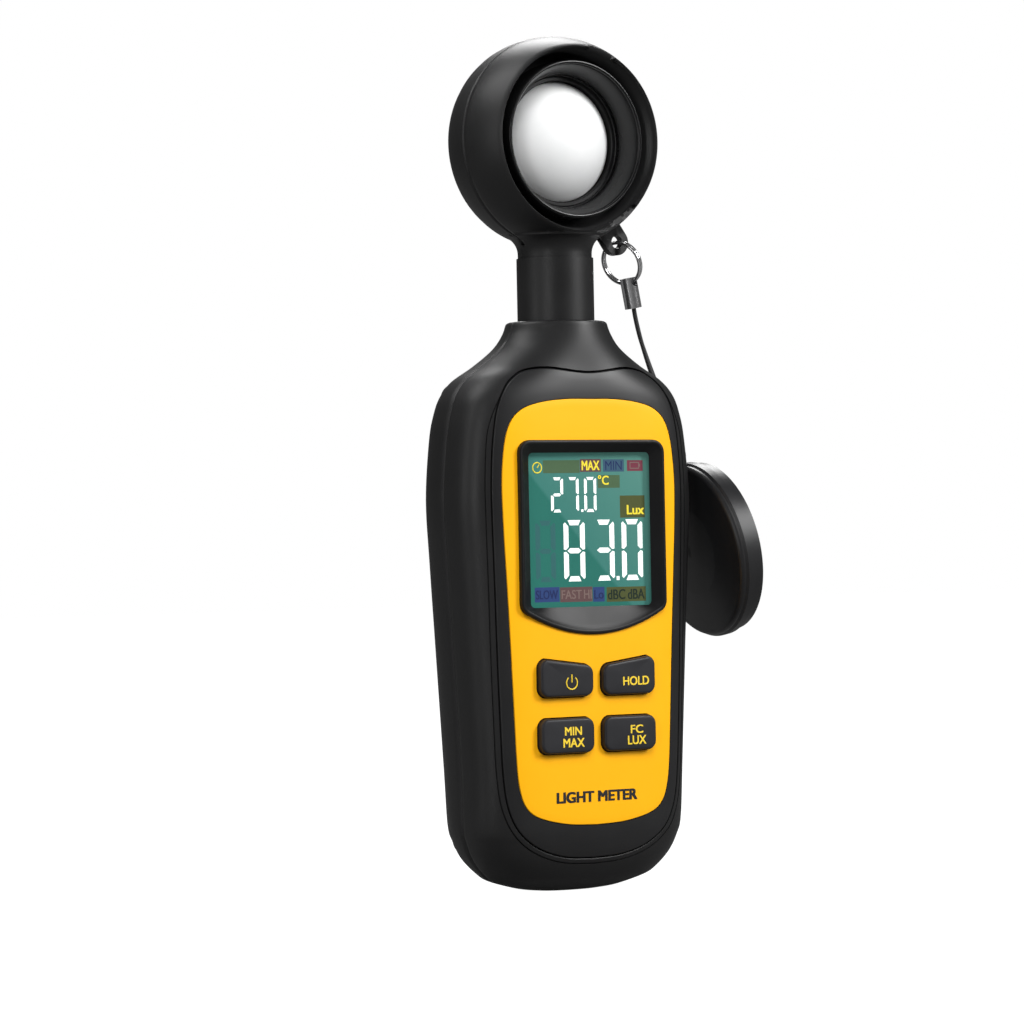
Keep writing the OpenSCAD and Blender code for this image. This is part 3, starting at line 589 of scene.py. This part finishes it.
def smooth_sections():
    """The sections with splined rows between them."""
    columns = [spline([(k, s[c], 0) for k, s in enumerate(SECTIONS)], ROWS_PER_SECTION) for c in range(6)]
    rows = [tuple(column[j].y for column in columns) for j in range(len(columns[0]))]
    ordered = [rows[0]]
    for row in rows[1:]:
        if row[0] > ordered[-1][0] + 1e-4:
            ordered.append(row)
    return ordered


CASING = smooth_sections()


def casing_row(z):
    """Half width, front and back depth and both squarenesses at a height."""
    for low, high in zip(CASING, CASING[1:]):
        if z <= high[0]:
            t = max((z - low[0]) / (high[0] - low[0]), 0)
            return [a + (b - a) * t for a, b in zip(low, high)]
    return list(CASING[-1])


def surface_y(x, z, side=-1):
    """Depth of the casing surface on its front (side -1) or its back (side 1)."""
    _, a, front, back, square_front, square_back = casing_row(z)
    n, b = (square_front, front) if side < 0 else (square_back, back)
    return SWIVEL_Y + side * b * (1 - min(abs(x) / a, 0.999) ** n) ** (1 / n)


def half_section(a, b, n, side, count):
    """Equally spaced points of half a section, from its right end to its left end."""
    dense = []
    for i in range(241):
        t = math.pi * i / 240
        c, s = math.cos(t), math.sin(t)
        dense.append((math.copysign(abs(c) ** (2 / n), c) * a, side * b * s ** (2 / n)))
    return resample(dense, count)


SEAM_ROUND = 0.35


def shell_half(name, side):
    """One half of the casing with a rounded edge at the seam, a wall and a bored collar."""
    outer_count, inner_count = 90, 30
    rings = []
    for row in CASING:
        z, a, front, back, square_front, square_back = row
        b, n = (front, square_front) if side < 0 else (back, square_back)
        lip = max(z - (SECTIONS[-1][0] - 0.6), 0) / 0.6
        drop = 0.45 * (1 - math.sqrt(max(1 - lip * lip, 0)))
        outer = []
        for p in half_section(a - drop, b - drop, n, side, outer_count):
            near = min(abs(p.y) / SEAM_ROUND, 1)
            pull = SEAM_ROUND * (1 - math.sqrt(1 - (1 - near) ** 2))
            outer.append((p.x * (1 - pull / max(a, 1)), SWIVEL_Y + p.y, z))
        if z > 104:
            inner = half_section(COLLAR_BORE, COLLAR_BORE, 2, side, inner_count)
        elif z > 2.6:
            inner = half_section(a - WALL, b - WALL, n, side, inner_count)
        else:
            inner = [Vector(((a - WALL) * (1 - 2 * i / (inner_count - 1)), 0)) for i in range(inner_count)]
        inside = [(p.x, SWIVEL_Y + p.y, z) for p in reversed(inner)]
        rings.append(outer + inside)
    piece = loft(name, rings, crease=50)
    weld(piece)
    return piece


# Right halves of the outlines of the face panel and the label, as (X, Z) from the top middle down
PANEL_HALF = [
    (0, 105.1), (3, 105.3), (6, 105.7), (8.5, 106), (11, 106), (13.2, 105.7), (15.4, 104.9), (18.5, 102.4),
    (20.9, 98), (22.1, 92), (22.7, 84), (22.7, 76), (22.3, 62), (21.9, 48), (21.4, 34), (20.9, 24),
    (19.9, 17.6), (17.5, 12.8), (13, 9.4), (7, 7.5), (0, 7),
]
LABEL_HALF = [
    (0, 99.8), (5, 99.8), (10, 99.4), (14.2, 98.5), (16.8, 97.2), (18.6, 95.2), (19.8, 92), (20.5, 87.5),
    (20.8, 82), (20.6, 74), (20.1, 64), (19.5, 52), (18.9, 38), (18.4, 27), (17.8, 21.6), (16.4, 17.8),
    (13.4, 15.6), (7, 14.1), (0, 13.7),
]
OUTLINE_POINTS = 240


def outline(half):
    points = spline([(x, z, 0) for x, z in half], 12)
    half_line = resample([Vector((p.x, p.y)) for p in points], OUTLINE_POINTS // 2 + 1)
    return mirrored(half_line)


PANEL = outline(PANEL_HALF)
LABEL = outline(LABEL_HALF)


def plate(name, shape, over, deep, rounding=0.0, side=-1):
    """Plate that follows the casing surface inside an outline, with its outer edge rounded."""
    middle = Vector((0, (max(p.y for p in shape) + min(p.y for p in shape)) / 2))
    steps = [(rounding * (1 - math.cos(t)), rounding * math.sin(t))
             for t in [math.pi / 2 * i / 5 for i in range(6)]] if rounding else [(0, 0)]
    rings = [[(p.x, surface_y(p.x, p.y, side) - side * deep, p.y) for p in shape]]
    for inward, rise in steps:
        height = over - rounding + rise
        rings.append([(p.x, surface_y(p.x, p.y, side) + side * height, p.y) for p in inset(shape, inward)])
    rim = inset(shape, rounding)
    for k in range(1, 31):
        s = 1 - k / 30
        ring = [middle + (p - middle) * s for p in rim]
        rings.append([(p.x, surface_y(p.x, p.y, side) + side * over, p.y) for p in ring])
    back = [[(p.x, surface_y(p.x, p.y, side) - side * deep, p.y) for p in
             [middle + (q - middle) * k / 16 for q in shape]] for k in range(16)]
    piece = loft(name, [*reversed(rings), *reversed(back)], ends=(False, False), crease=40)
    weld(piece)
    return piece


def extent(half):
    """Rounded outline with a bowed foot: (half width, top, side foot, middle foot, radius)."""
    wide, top, side, low, r = half
    lean = math.atan2(2 * (side - low), wide)
    points = [Vector(((wide - r) * i / 14, top)) for i in range(14)]
    points += [Vector((wide - r + r * math.sin(t), top - r + r * math.cos(t)))
               for t in [math.pi / 2 * i / 8 for i in range(9)]]
    corner = Vector((wide - r, side + r))
    points += [Vector((wide, top - r + (side + 2 * r - top) * i / 20)) for i in range(1, 20)]
    points += [corner + Vector((r * math.cos(t), -r * math.sin(t)))
               for t in [(math.pi / 2 - lean) * i / 8 for i in range(9)]]
    end = points[-1]
    points += [Vector((end.x * (1 - i / 20), low + (end.y - low) * (1 - i / 20) ** 2)) for i in range(1, 21)]
    return mirrored(points)


SURROUND = extent((17.5, 91.5, 56.2, 52.2, 2.6))
VIEW = extent((14.6, 89.0, 57.8, 57.8, 1.0))
LIP_OUT = FACE_Y - 0.5
WINDOW_Y = FACE_Y + 1.05
GLASS_Y = WINDOW_Y + 1.1

KEY_W, KEY_GAP, KEY_R, KEY_FIT, KEY_PROUD, KEY_BACK = 12.6, 2.4, 1.9, 0.25, 1.2, 2.9
LOW_ROW = (28.4, 7.1, 7.1)
HIGH_ROW = (39.8, 6.4, 7.7)
KEYS = {
    "power_key": (-1, HIGH_ROW), "hold_key": (1, HIGH_ROW),
    "min_max_key": (-1, LOW_ROW), "unit_key": (1, LOW_ROW),
}


def key_outline(side, row, grow=0.0):
    """Clockwise outline of a key, grown all round. Its upper edge slopes up away from the middle."""
    low, inner, outer = row[0] - grow, row[1] + 2 * grow, row[2] + 2 * grow
    wide, r = KEY_W + 2 * grow, KEY_R + grow
    corners = [((r, inner - r), 180, 98), ((wide - r, outer - r), 78, 0),
               ((wide - r, r), 0, -90), ((r, r), 270, 180)]
    points = []
    for (x, z), start, stop in corners:
        for i in range(13):
            t = math.radians(start + (stop - start) * i / 12)
            points.append(Vector((KEY_GAP / 2 - grow + x + r * math.cos(t), low + z + r * math.sin(t))))
    if side < 0:
        points = [Vector((-p.x, p.y)) for p in reversed(points)]
    return points


def face_cutters(grow, fit=KEY_FIT):
    """Solids that open the front for the display surround and the keys."""
    shapes = [inset(SURROUND, -grow)] + [key_outline(side, row, fit) for side, row in KEYS.values()]
    return [extrusion("cutter", shape, -30, -8) for shape in shapes]


PANEL_GROOVE = 0.28
BEAD_WIDE = 1.0


def bead_line():
    """Outline of the fine groove round the panel. It runs into the panel's own gap at the top corners."""
    middle = inset(PANEL, -PANEL_GROOVE)
    wide = inset(PANEL, -PANEL_GROOVE - BEAD_WIDE)
    share = [min(max((101 - p.y) / 9, 0), 1) for p in middle]
    return [p.lerp(q, t * t * (3 - 2 * t)) for p, q, t in zip(middle, wide, share)]


def groove_cutter(line, half, deep):
    """Solid ring that cuts a V groove along an outline in the front face."""
    profile = [(half * 2.2, deep * 1.2), (-half * 2.2, deep * 1.2), (0, -deep)]
    rings = [[(p.x, surface_y(p.x, p.y) - over, p.y) for p in inset(line, away)] for away, over in profile]
    rings.append(rings[0])
    piece = loft("cutter", rings, ends=(False, False))
    weld(piece)
    return piece


def make_front_casing():
    casing = shell_half("front_casing", -1)
    pocket = plate("cutter", inset(PANEL, -PANEL_GROOVE), 3, 1.3)
    edge = groove_cutter(inset(PANEL, -PANEL_GROOVE), 0.14, 0.14)
    cut(casing, [pocket, edge, groove_cutter(bead_line(), 0.15, 0.32), *face_cutters(0.15)], crease=35)
    dress(casing, "casing", "casing_black", replaces=["front_shell"])


def make_rear_casing():
    casing = shell_half("rear_casing", 1)
    seat = plate("cutter", inset(DOOR, -0.3), 4, 1.75, side=1)
    through = extrusion("cutter", inset(DOOR, 1.2), 9, 30)
    cutters = [seat, through, barrel(0, TRIPOD_Z, 4.6, 5, 30)]
    for x in (-SCREW_X, SCREW_X):
        for z in SCREW_ROWS:
            post = barrel(x, z, 3.45, SCREW_SEAT - 3, surface_y(x, z, 1) - 1.0)
            cut(casing, [post], join=True)
            cutters.append(barrel(x, z, 2.9, SCREW_SEAT, 30))
    cut(casing, cutters, crease=35)
    dress(casing, "casing", "casing_black", replaces=["rear_shell"])


def barrel(x, z, r, y0, y1, sides=64):
    """Round bar along Y."""
    ring = [Vector((x + r * math.sin(2 * math.pi * i / sides), z + r * math.cos(2 * math.pi * i / sides)))
            for i in range(sides)]
    return extrusion("barrel", ring, y0, y1)


TRIPOD_Z = 82
SCREW_X = 17
SCREW_ROWS = (10.6, 100.4)
SCREW_SEAT = 4
DOOR = extent((17.3, 69, 15.6, 15.6, 1.6))


def make_panel():
    panel = plate("face_panel_satin", PANEL, 0, 1.25, rounding=0.18)
    pocket = plate("cutter", inset(LABEL, -0.16), 2, 0.5)
    cut(panel, [pocket, *face_cutters(0.1)], crease=35)
    dress(panel, "casing", "panel_satin", replaces=["face_panel"])


def make_label():
    label = plate("face_label_yellow", LABEL, 0.06, 0.45, rounding=0.12)
    cut(label, face_cutters(0.05, KEY_FIT), crease=35)
    dress(label, "casing", "label_yellow", replaces=["face_label"])


def make_surround():
    """Display surround: a thin raised lip, a slope down to the window and a sloping chin."""
    rings = [[(p.x, WINDOW_Y + 1, p.y) for p in SURROUND]]
    rings += [[(p.x, y, p.y) for p in inset(SURROUND, away)]
              for away, y in [(0, LIP_OUT + 0.3), (0.06, LIP_OUT + 0.12), (0.2, LIP_OUT + 0.02),
                              (0.35, LIP_OUT), (0.6, LIP_OUT), (0.75, LIP_OUT + 0.03),
                              (0.85, LIP_OUT + 0.12)]]
    start = inset(SURROUND, 0.85)
    for t in (0.25, 0.5, 0.75, 1):
        y = LIP_OUT + 0.12 + (WINDOW_Y - 0.12 - LIP_OUT - 0.12) * t
        rings.append([(p.x + (q.x - p.x) * t, y, p.y + (q.y - p.y) * t) for p, q in zip(start, VIEW)])
    wide = inset(VIEW, -1.2)
    rings += [[(p.x, y, p.y) for p in line]
              for line, y in [(VIEW, WINDOW_Y - 0.02), (wide, WINDOW_Y - 0.02), (wide, WINDOW_Y + 1)]]
    rings.append(rings[0])
    piece = loft("display_bezel", rings, ends=(False, False), crease=32)
    weld(piece)
    dress(piece, "casing", "surround_black", replaces=["display_surround"])


def join(name, parts, crease=35):
    """One piece made of several."""
    work = bmesh.new()
    for part in parts:
        work.from_mesh(part.data)
    mesh = bpy.data.meshes.new(name)
    work.to_mesh(mesh)
    work.free()
    for part in parts:
        bpy.data.objects.remove(part)
    piece = bpy.data.objects.new(name, mesh)
    bpy.context.collection.objects.link(piece)
    smooth(piece, crease)
    return piece


def make_key(node, side, row):
    """Key with softly rounded edges and a barely crowned top, on its flange and plunger."""
    shape = key_outline(side, row)
    middle = Vector((side * (KEY_GAP + KEY_W) / 2, row[0] + (row[1] + row[2]) / 4))
    top = FACE_Y - KEY_PROUD
    flange = FACE_Y + KEY_BACK
    soft = 0.55
    rings = [[(p.x, flange + 0.6, p.y) for p in shape]]
    for i in range(8):
        t = math.pi / 2 * i / 7
        height = top + soft * (1 - math.sin(t))
        rings.append([(p.x, height, p.y) for p in inset(shape, soft * (1 - math.cos(t)))])
    rim = inset(shape, soft)
    for k in range(1, 11):
        s = 1 - k / 10.2
        height = top - 0.07 * (1 - s * s)
        rings.append([(q.x, height, q.y) for q in [middle + (p - middle) * s for p in rim]])
    cap = loft("cap", rings)
    foot = extrusion("foot", key_outline(side, row, 0.7), flange, flange + 0.9)
    plunger = barrel(middle.x, row[0] + row[1] / 2, 1.6, flange, -8.6)
    dress(join(f"{node}_moulding", [cap, foot, plunger]), node, "key_grey", replaces=[node])


SEAM_Y = SWIVEL_Y - 0.5


def make_dome():
    """White dome of the diffuser, hollow, with a foot that stands on its board."""
    base, high, wall, foot = 1.7, 6.4, 1.6, 12.3
    r = (foot * foot + high * high) / (2 * high)
    spread = math.asin(foot / r)
    middle = base + high - r
    outer = [(r * math.sin(t), middle + r * math.cos(t))
             for t in [spread * i / 40 for i in range(40, -1, -1)]]
    inner = [((r - wall) * math.sin(t), middle + (r - wall) * math.cos(t))
             for t in [(spread - 0.1) * i / 20 for i in range(21)]]
    piece = revolve("dome_moulding", [(foot - 1.9, 0.2), (foot, 0.2), *outer, *inner], crease=50)
    dress(piece, "head", "diffuser_white", replaces=["diffuser_dome"])


def make_collar():
    """Sensor collar: a rounded lip, then a plain cone with one faint step above the diffuser."""
    out, lip, r, floor = 16.1, 9.2, 0.4, 3.22
    edge = [(out - r - r * math.cos(t), lip - r + r * math.sin(t))
            for t in [math.pi * i / 10 for i in range(11)]]
    cone = [(13.5, floor), (13.55, 4.3), (13.75, 4.45), (15.05, 8.5)]
    piece = revolve("collar_moulding", [*cone, *edge, (out, floor)], crease=30)
    dress(piece, "head", "surround_black", COLLAR_BLACK, ["sensor_collar"])


def head_notch():
    """Solid that cuts the finger notch in the rim of the head, at its lower right."""
    rings = []
    for i in range(13):
        t = math.radians(-67 + 22 * i / 12)
        profile = [(17, 9.3), (23, 9.3), (23, 13), (17, 13)]
        rings.append([(r * math.cos(t), SWIVEL_Y - y, HEAD_Z + r * math.sin(t)) for r, y in profile])
    cutter = loft("cutter", rings)
    weld(cutter)
    return cutter


def make_head_half(name, node, cutters):
    """Half of the head with a fine groove where the two halves meet, and any other cuts."""
    piece = bpy.data.objects.new(name, nodes[node].data.copy())
    piece.matrix_world = nodes[node].matrix_world
    bpy.context.collection.objects.link(piece)
    weld(piece)
    near, deep = 0.16, 0.3
    rings = []
    for i in range(192):
        t = 2 * math.pi * i / 192
        ring = [(HEAD_R - deep, 0), (HEAD_R + 1, -near * 4), (HEAD_R + 1, near * 4)]
        rings.append([(r * math.cos(t), SEAM_Y + y, HEAD_Z + r * math.sin(t)) for r, y in ring])
    rings.append(rings[0])
    cutter = loft("cutter", rings, ends=(False, False))
    weld(cutter)
    cut(piece, [cutter, *cutters], crease=32)
    dress(piece, "head", "casing_black", replaces=[node])


def make_door():
    """Battery door: a plate that follows the back, with a ribbed thumb pad, and its catch and tongues."""
    door = plate("cover", DOOR, 0, 1.6, rounding=0.3, side=1)
    ribs = []
    for k in range(6):
        z = 57 + 1.7 * k
        half = 7.5 - abs(k - 2.5) * 0.5
        path = [Vector((x, surface_y(x, z, 1) - 0.12, z))
                for x in (half * (2 * i / 16 - 1) for i in range(17))]
        ribs.append(tube("rib", path, 0.38, 10))
    catch = box_piece((-5, 5), (11.8, 14.0), (64, 65.6))
    tongues = [box_piece((x - 2.5, x + 2.5), (10.4, 12.8), (16.8, 18.2)) for x in (-9, 9)]
    dress(join("battery_door_cover", [door, *ribs, catch, *tongues]), "door", "casing_black",
          replaces=["battery_door"])


def box_piece(xs, ys, zs):
    shape = [Vector((xs[0], zs[1])), Vector((xs[1], zs[1])), Vector((xs[1], zs[0])), Vector((xs[0], zs[0]))]
    return extrusion("box", shape, *ys)


make_front_casing()
make_rear_casing()
make_panel()
make_label()
make_surround()
for key_node, (key_side, key_row) in KEYS.items():
    make_key(key_node, key_side, key_row)
make_door()
make_dome()
make_collar()
make_head_half("head_front_moulding", "head_front_shell", [head_notch()])
make_head_half("head_rear_moulding", "head_rear_shell", [])


# ---------------------------------------------------------------- printed marks

COPY_STEP = 0.008


def words(name, text, place, size, skin, body, slot, material, bold=0.0, thick=0.12):
    """Lettering centred at place (X, Z) with a given (width, height), lying on a skin y(x, z).

    Bold lettering is made of copies moved to each side by bold, in millimetres. Each copy stands a
    hair further out than the last, so no two faces lie in one plane.
    """
    font = bpy.data.curves.new(name, "FONT")
    font.body = text
    font.extrude = 0.1
    font.resolution_u = 6
    holder = bpy.data.objects.new("text", font)
    bpy.context.collection.objects.link(holder)
    bpy.context.view_layer.update()
    graph = bpy.context.evaluated_depsgraph_get()
    mesh = bpy.data.meshes.new_from_object(holder.evaluated_get(graph))
    bpy.data.objects.remove(holder)
    lows = [min(v.co[k] for v in mesh.vertices) for k in range(2)]
    highs = [max(v.co[k] for v in mesh.vertices) for k in range(2)]
    for v in mesh.vertices:
        x = place[0] + ((v.co.x - lows[0]) / (highs[0] - lows[0]) - 0.5) * size[0]
        z = place[1] + ((v.co.y - lows[1]) / (highs[1] - lows[1]) - 0.5) * size[1]
        v.co = Vector((x, skin(x, z) - (thick / 3 if v.co.z > 0 else -2 * thick / 3), z)) * MM
    copies = []
    for k, (dx, dz) in enumerate([(-1, 1), (1, 1), (-1, -1), (1, -1)] if bold else [(0, 0)]):
        copy = bpy.data.objects.new("copy", mesh.copy())
        shift = Vector((dx * bold, -COPY_STEP * k, dz * bold * 0.5))
        copy.data.transform(Matrix.Translation(shift * MM))
        weld(copy, 0.0001)
        copies.append(copy)
    piece = join(name, copies)
    dress(piece, body, slot, material)
    return piece


def label_skin(x, z):
    return surface_y(x, z) - 0.06


def key_skin(x, z):
    return FACE_Y - KEY_PROUD - 0.05


def make_power_mark():
    """Open ring with a bar at its top."""
    x, z, r = -6.6, 42.6, 1.3
    arc = [Vector((x + r * math.sin(t), key_skin(0, 0) + 0.06, z + r * math.cos(t)))
           for t in [math.radians(38 + 284 * i / 40) for i in range(41)]]
    ring = tube("ring", arc, 0.16, 8)
    bar = tube("bar", [Vector((x, key_skin(0, 0) + 0.06, z + v)) for v in (0.1, 0.9, 1.7)], 0.16, 8)
    dress(join("power_mark", [ring, bar]), "power_key", "label_yellow", INK_YELLOW)


make_power_mark()
for mark, text, place, size, key in [
        ("hold_mark", "HOLD", (8.9, 42.53), (6.2, 1.75), "hold_key"),
        ("min_mark", "MIN", (-6.5, 32.9), (3.95, 1.65), "min_max_key"),
        ("max_mark", "MAX", (-6.4, 30.55), (5.0, 1.75), "min_max_key"),
        ("fc_mark", "FC", (8.87, 32.7), (2.95, 1.65), "unit_key"),
        ("lux_mark", "LUX", (8.87, 30.5), (4.4, 1.75), "unit_key")]:
    words(mark, text, place, size, key_skin, key, "label_yellow", INK_YELLOW, 0.05)
words("label_title", "LIGHT METER", (0, 19.45), (19.2, 2.1), label_skin, "casing", "surround_black",
      INK_BLACK, bold=0.15)


# ---------------------------------------------------------------- display artwork

DIGIT_WHITE = lit("digit_white", (0.86, 0.9, 0.88), 0.62)
SIGN_YELLOW = lit("sign_yellow", (0.75, 0.62, 0.05), 0.5)
DIM_OLIVE = lit("dim_olive", (0.072, 0.125, 0.065), 0.3)
DIM_RED = lit("dim_red", (0.115, 0.065, 0.065), 0.3)
DIM_BROWN = lit("dim_brown", (0.075, 0.085, 0.03), 0.3)
DIM_BLUE = lit("dim_blue", (0.03, 0.055, 0.17), 0.3)
DIM_SLATE = lit("dim_slate", (0.045, 0.095, 0.15), 0.3)
DIM_ROSE = lit("dim_rose", (0.17, 0.04, 0.06), 0.3)
DIM_LETTER = lit("dim_letter", (0.02, 0.03, 0.022), 0.2)
FAINT_LETTER = lit("faint_letter", (0.19, 0.13, 0.12), 0.3)
GHOST = lit("ghost", (0.035, 0.125, 0.125), 0.3)
FAINT_BLUE = lit("faint_blue", (0.02, 0.03, 0.1), 0.3)
SEGMENTS = {"0": "abcdef", "2": "abged", "3": "abgcd", "7": "abc", "8": "abcdefg"}
FILM_STEP = 0.012


def flat(name, shapes, material, layer=1):
    """Thin film of one or more outlines, in X and Z, on the display glass."""
    front = GLASS_Y - FILM_STEP * layer
    parts = [extrusion("film", shape, front, front + 0.01) for shape in shapes]
    dress(join(name, parts), "casing", "lcd_teal", material)


def bar_shape(x0, x1, z0, z1):
    return [Vector((x0, z1)), Vector((x1, z1)), Vector((x1, z0)), Vector((x0, z0))]


def digit(figure, x0, z0, wide, high):
    """Outlines of a seven-segment figure with cut corners, scaled from its height."""
    x1, z1, zm = x0 + wide, z0 + high, z0 + high / 2
    t = 0.084 * high
    up, outer, inner = 0.094 * high, 0.082 * high, 0.124 * high
    gap, half = 0.014 * high, 0.042 * high

    def level(z, way):
        """Top or bottom segment, its long edge outwards."""
        return [Vector((x0 + outer, z)), Vector((x1 - outer, z)), Vector((x1 - inner, z - way * t)),
                Vector((x0 + inner, z - way * t))]

    def upright(x, way, end, middle):
        """Side segment between an end of the figure and its middle bar."""
        side = 1 if end > middle else -1
        near = middle + side * gap
        return [Vector((x, end - side * 0.06 * high)),
                Vector((x + way * up * 0.3, end - side * 0.035 * high)),
                Vector((x + way * up, end - side * 0.1 * high)),
                Vector((x + way * up, near + side * half * 1.1)),
                Vector((x + way * up * 0.45, near)), Vector((x, near + side * 0.01 * high))]

    shapes = {
        "a": level(z1, 1),
        "d": level(z0, -1),
        "g": [Vector((x0 + outer * 0.85, zm)), Vector((x0 + inner, zm + half)),
              Vector((x1 - inner, zm + half)), Vector((x1 - outer * 0.85, zm)),
              Vector((x1 - inner, zm - half)), Vector((x0 + inner, zm - half))],
        "f": upright(x0, 1, z1, zm),
        "b": upright(x1, -1, z1, zm),
        "e": upright(x0, 1, z0, zm),
        "c": upright(x1, -1, z0, zm),
    }
    return [shapes[s] for s in SEGMENTS[figure]]


def glass_skin(x, z):
    return GLASS_Y - 0.03


def make_display_art():
    small = [digit(f, x, 76.95, 2.95, 7.1) for f, x in (("2", -8.6), ("7", -4.85), ("0", -0.6))]
    large = [digit(f, x, 62.95, 5.1, 12.4) for f, x in (("8", -5.75), ("3", 1.4), ("0", 8.3))]
    flat("figure_unlit", digit("8", -12.5, 62.95, 4.8, 12.4), GHOST)
    points = [bar_shape(-1.4, -0.85, 77, 77.5), bar_shape(6.9, 7.6, 63, 63.8)]
    flat("display_figures", [s for shapes in small + large for s in shapes] + points, DIGIT_WHITE, 2)
    flat("sign_field_left", [bar_shape(-10.4, -1.6, 84.9, 87.5)], DIM_OLIVE)
    flat("sign_field_max", [bar_shape(-1.5, 3.6, 85.1, 87.7)], DIM_RED)
    flat("sign_field_min", [bar_shape(4.1, 9.2, 85.1, 87.6)], DIM_SLATE)
    flat("sign_field_battery", [bar_shape(9.95, 13.8, 85.2, 87.4)], DIM_ROSE)
    battery = [bar_shape(10.6, 12.9, 86.85, 87.05), bar_shape(10.6, 12.9, 85.65, 85.85),
               bar_shape(10.6, 10.8, 85.85, 86.85), bar_shape(12.7, 12.9, 85.85, 86.85),
               bar_shape(12.95, 13.15, 86.05, 86.65)]
    flat("battery_sign", battery, FAINT_LETTER, 2)
    flat("sign_field_degrees", [bar_shape(2.75, 8.1, 81.8, 84.4)], DIM_OLIVE)
    flat("sign_field_unit", [bar_shape(8.05, 14.1, 75.7, 80.2)], DIM_BROWN)
    flat("foot_field_slow", [bar_shape(-12.9, -7, 58.9, 61.9)], DIM_BLUE)
    flat("foot_field_fast", [bar_shape(-6.85, 0.95, 58.8, 61.8)], DIM_RED)
    flat("foot_field_low", [bar_shape(1.1, 3.9, 58.7, 61.7)], DIM_BLUE)
    flat("foot_field_scale", [bar_shape(4.4, 14.0, 58.6, 61.6)], DIM_BROWN)
    signs = [
        ("max_sign", "MAX", (1.05, 86.4), (4.2, 1.9), SIGN_YELLOW, 0.06),
        ("min_sign", "MIN", (6.65, 86.35), (4.0, 1.8), FAINT_BLUE, 0.0),
        ("degree_sign", "°C", (4.1, 83.4), (2.5, 1.9), SIGN_YELLOW, 0.05),
        ("lux_sign", "Lux", (11.8, 77.3), (4.1, 1.9), SIGN_YELLOW, 0.07),
        ("slow_sign", "SLOW", (-10.0, 60.4), (5.2, 1.8), FAINT_BLUE, 0.04),
        ("fast_sign", "FAST", (-4.1, 60.3), (4.8, 1.8), FAINT_LETTER, 0.03),
        ("high_sign", "HI", (-0.2, 60.3), (1.8, 1.8), FAINT_LETTER, 0.03),
        ("low_sign", "Lo", (2.5, 60.2), (2.2, 1.8), FAINT_BLUE, 0.04),
        ("scale_c_sign", "dBC", (6.8, 60.1), (4.2, 2.0), DIM_LETTER, 0.04),
        ("scale_a_sign", "dBA", (11.6, 60.1), (4.0, 2.0), DIM_LETTER, 0.04),
    ]
    art = ("casing", "lcd_teal")
    for name, text, place, size, ink, bold in signs:
        words(name, text, place, size, glass_skin, *art, ink, bold=bold, thick=0.02)
    ring = [Vector((-11.8 + 1.05 * math.sin(t), GLASS_Y - 0.03, 86.0 + 1.05 * math.cos(t)))
            for t in [2 * math.pi * i / 40 for i in range(40)]]
    needle = [Vector((-11.8, GLASS_Y - 0.03, 86.0)), Vector((-11.35, GLASS_Y - 0.03, 86.6))]
    dress(join("dial_sign", [tube("ring", ring, 0.12, 8, True), tube("needle", needle, 0.11, 8)]), *art,
          SIGN_YELLOW)


make_display_art()


# ---------------------------------------------------------------- stage and light

def for_camera(tree, other, camera):
    """One strength for what the camera sees directly and another for what lights the object."""
    seen = tree.nodes.new("ShaderNodeLightPath").outputs["Is Camera Ray"]
    strength = tree.nodes.new("ShaderNodeMapRange")
    strength.inputs["To Min"].default_value = other
    strength.inputs["To Max"].default_value = camera
    tree.links.new(seen, strength.inputs["Value"])
    return strength.outputs["Result"]


def make_stage():
    """Pale floor and pale surroundings, which stay bright behind the object but light it only a little."""
    floor = bpy.data.objects.new("floor", bpy.data.meshes.new("floor"))
    wide = 3
    floor.data.from_pydata([(-wide, -wide, 0), (wide, -wide, 0), (wide, wide, 0), (-wide, wide, 0)], [],
                           [(0, 1, 2, 3)])
    bpy.context.collection.objects.link(floor)
    paper, tree, shader, place = node_material("paper")
    shade = ramp(tree, noise(tree, place, 0.02), [(0.3, (0.1, 0.1, 0.1)), (0.7, (0.11, 0.11, 0.11))])
    tree.links.new(shade, shader.inputs["Base Color"])
    shader.inputs["Roughness"].default_value = 0.9
    shader.inputs["Emission Color"].default_value = (1, 1, 1, 1)
    tree.links.new(for_camera(tree, 0.05, 1.0), shader.inputs["Emission Strength"])
    floor.data.materials.append(paper)
    world = bpy.data.worlds.new("studio")
    world.use_nodes = True
    tree = world.node_tree
    tree.nodes["Background"].inputs["Color"].default_value = (1, 1, 1, 1)
    tree.links.new(for_camera(tree, 0.09, 1.0), tree.nodes["Background"].inputs["Strength"])
    bpy.context.scene.world = world
    bpy.context.scene.view_settings.view_transform = "Standard"


def area_light(name, place, size, power, gloss=True):
    """Soft light aimed at the middle of the object. Without gloss it leaves no highlight."""
    target = (0, 0, 0.09)
    light = bpy.data.lights.new(name, "AREA")
    light.shape = "RECTANGLE"
    light.size, light.size_y = size
    light.energy = power
    lamp = bpy.data.objects.new(name, light)
    lamp.location = place
    lamp.visible_glossy = gloss
    lamp.rotation_euler = (Vector(target) - Vector(place)).to_track_quat("-Z", "Y").to_euler()
    bpy.context.collection.objects.link(lamp)


make_stage()
area_light("right_light", (0.6, -0.74, 0.6), (0.3, 0.5), 10.5)
area_light("front_light", (-0.25, -0.75, 0.9), (0.6, 0.6), 9, gloss=False)
area_light("edge_light", (-0.9, -0.6, 0.3), (0.2, 0.6), 2)
area_light("left_light", (-1.0, 0.1, 0.2), (0.25, 0.9), 1.6)
area_light("top_light", (-0.5, 0.3, 0.95), (0.6, 0.6), 5)
area_light("back_light", (0.45, 0.72, 0.95), (0.5, 0.5), 9)
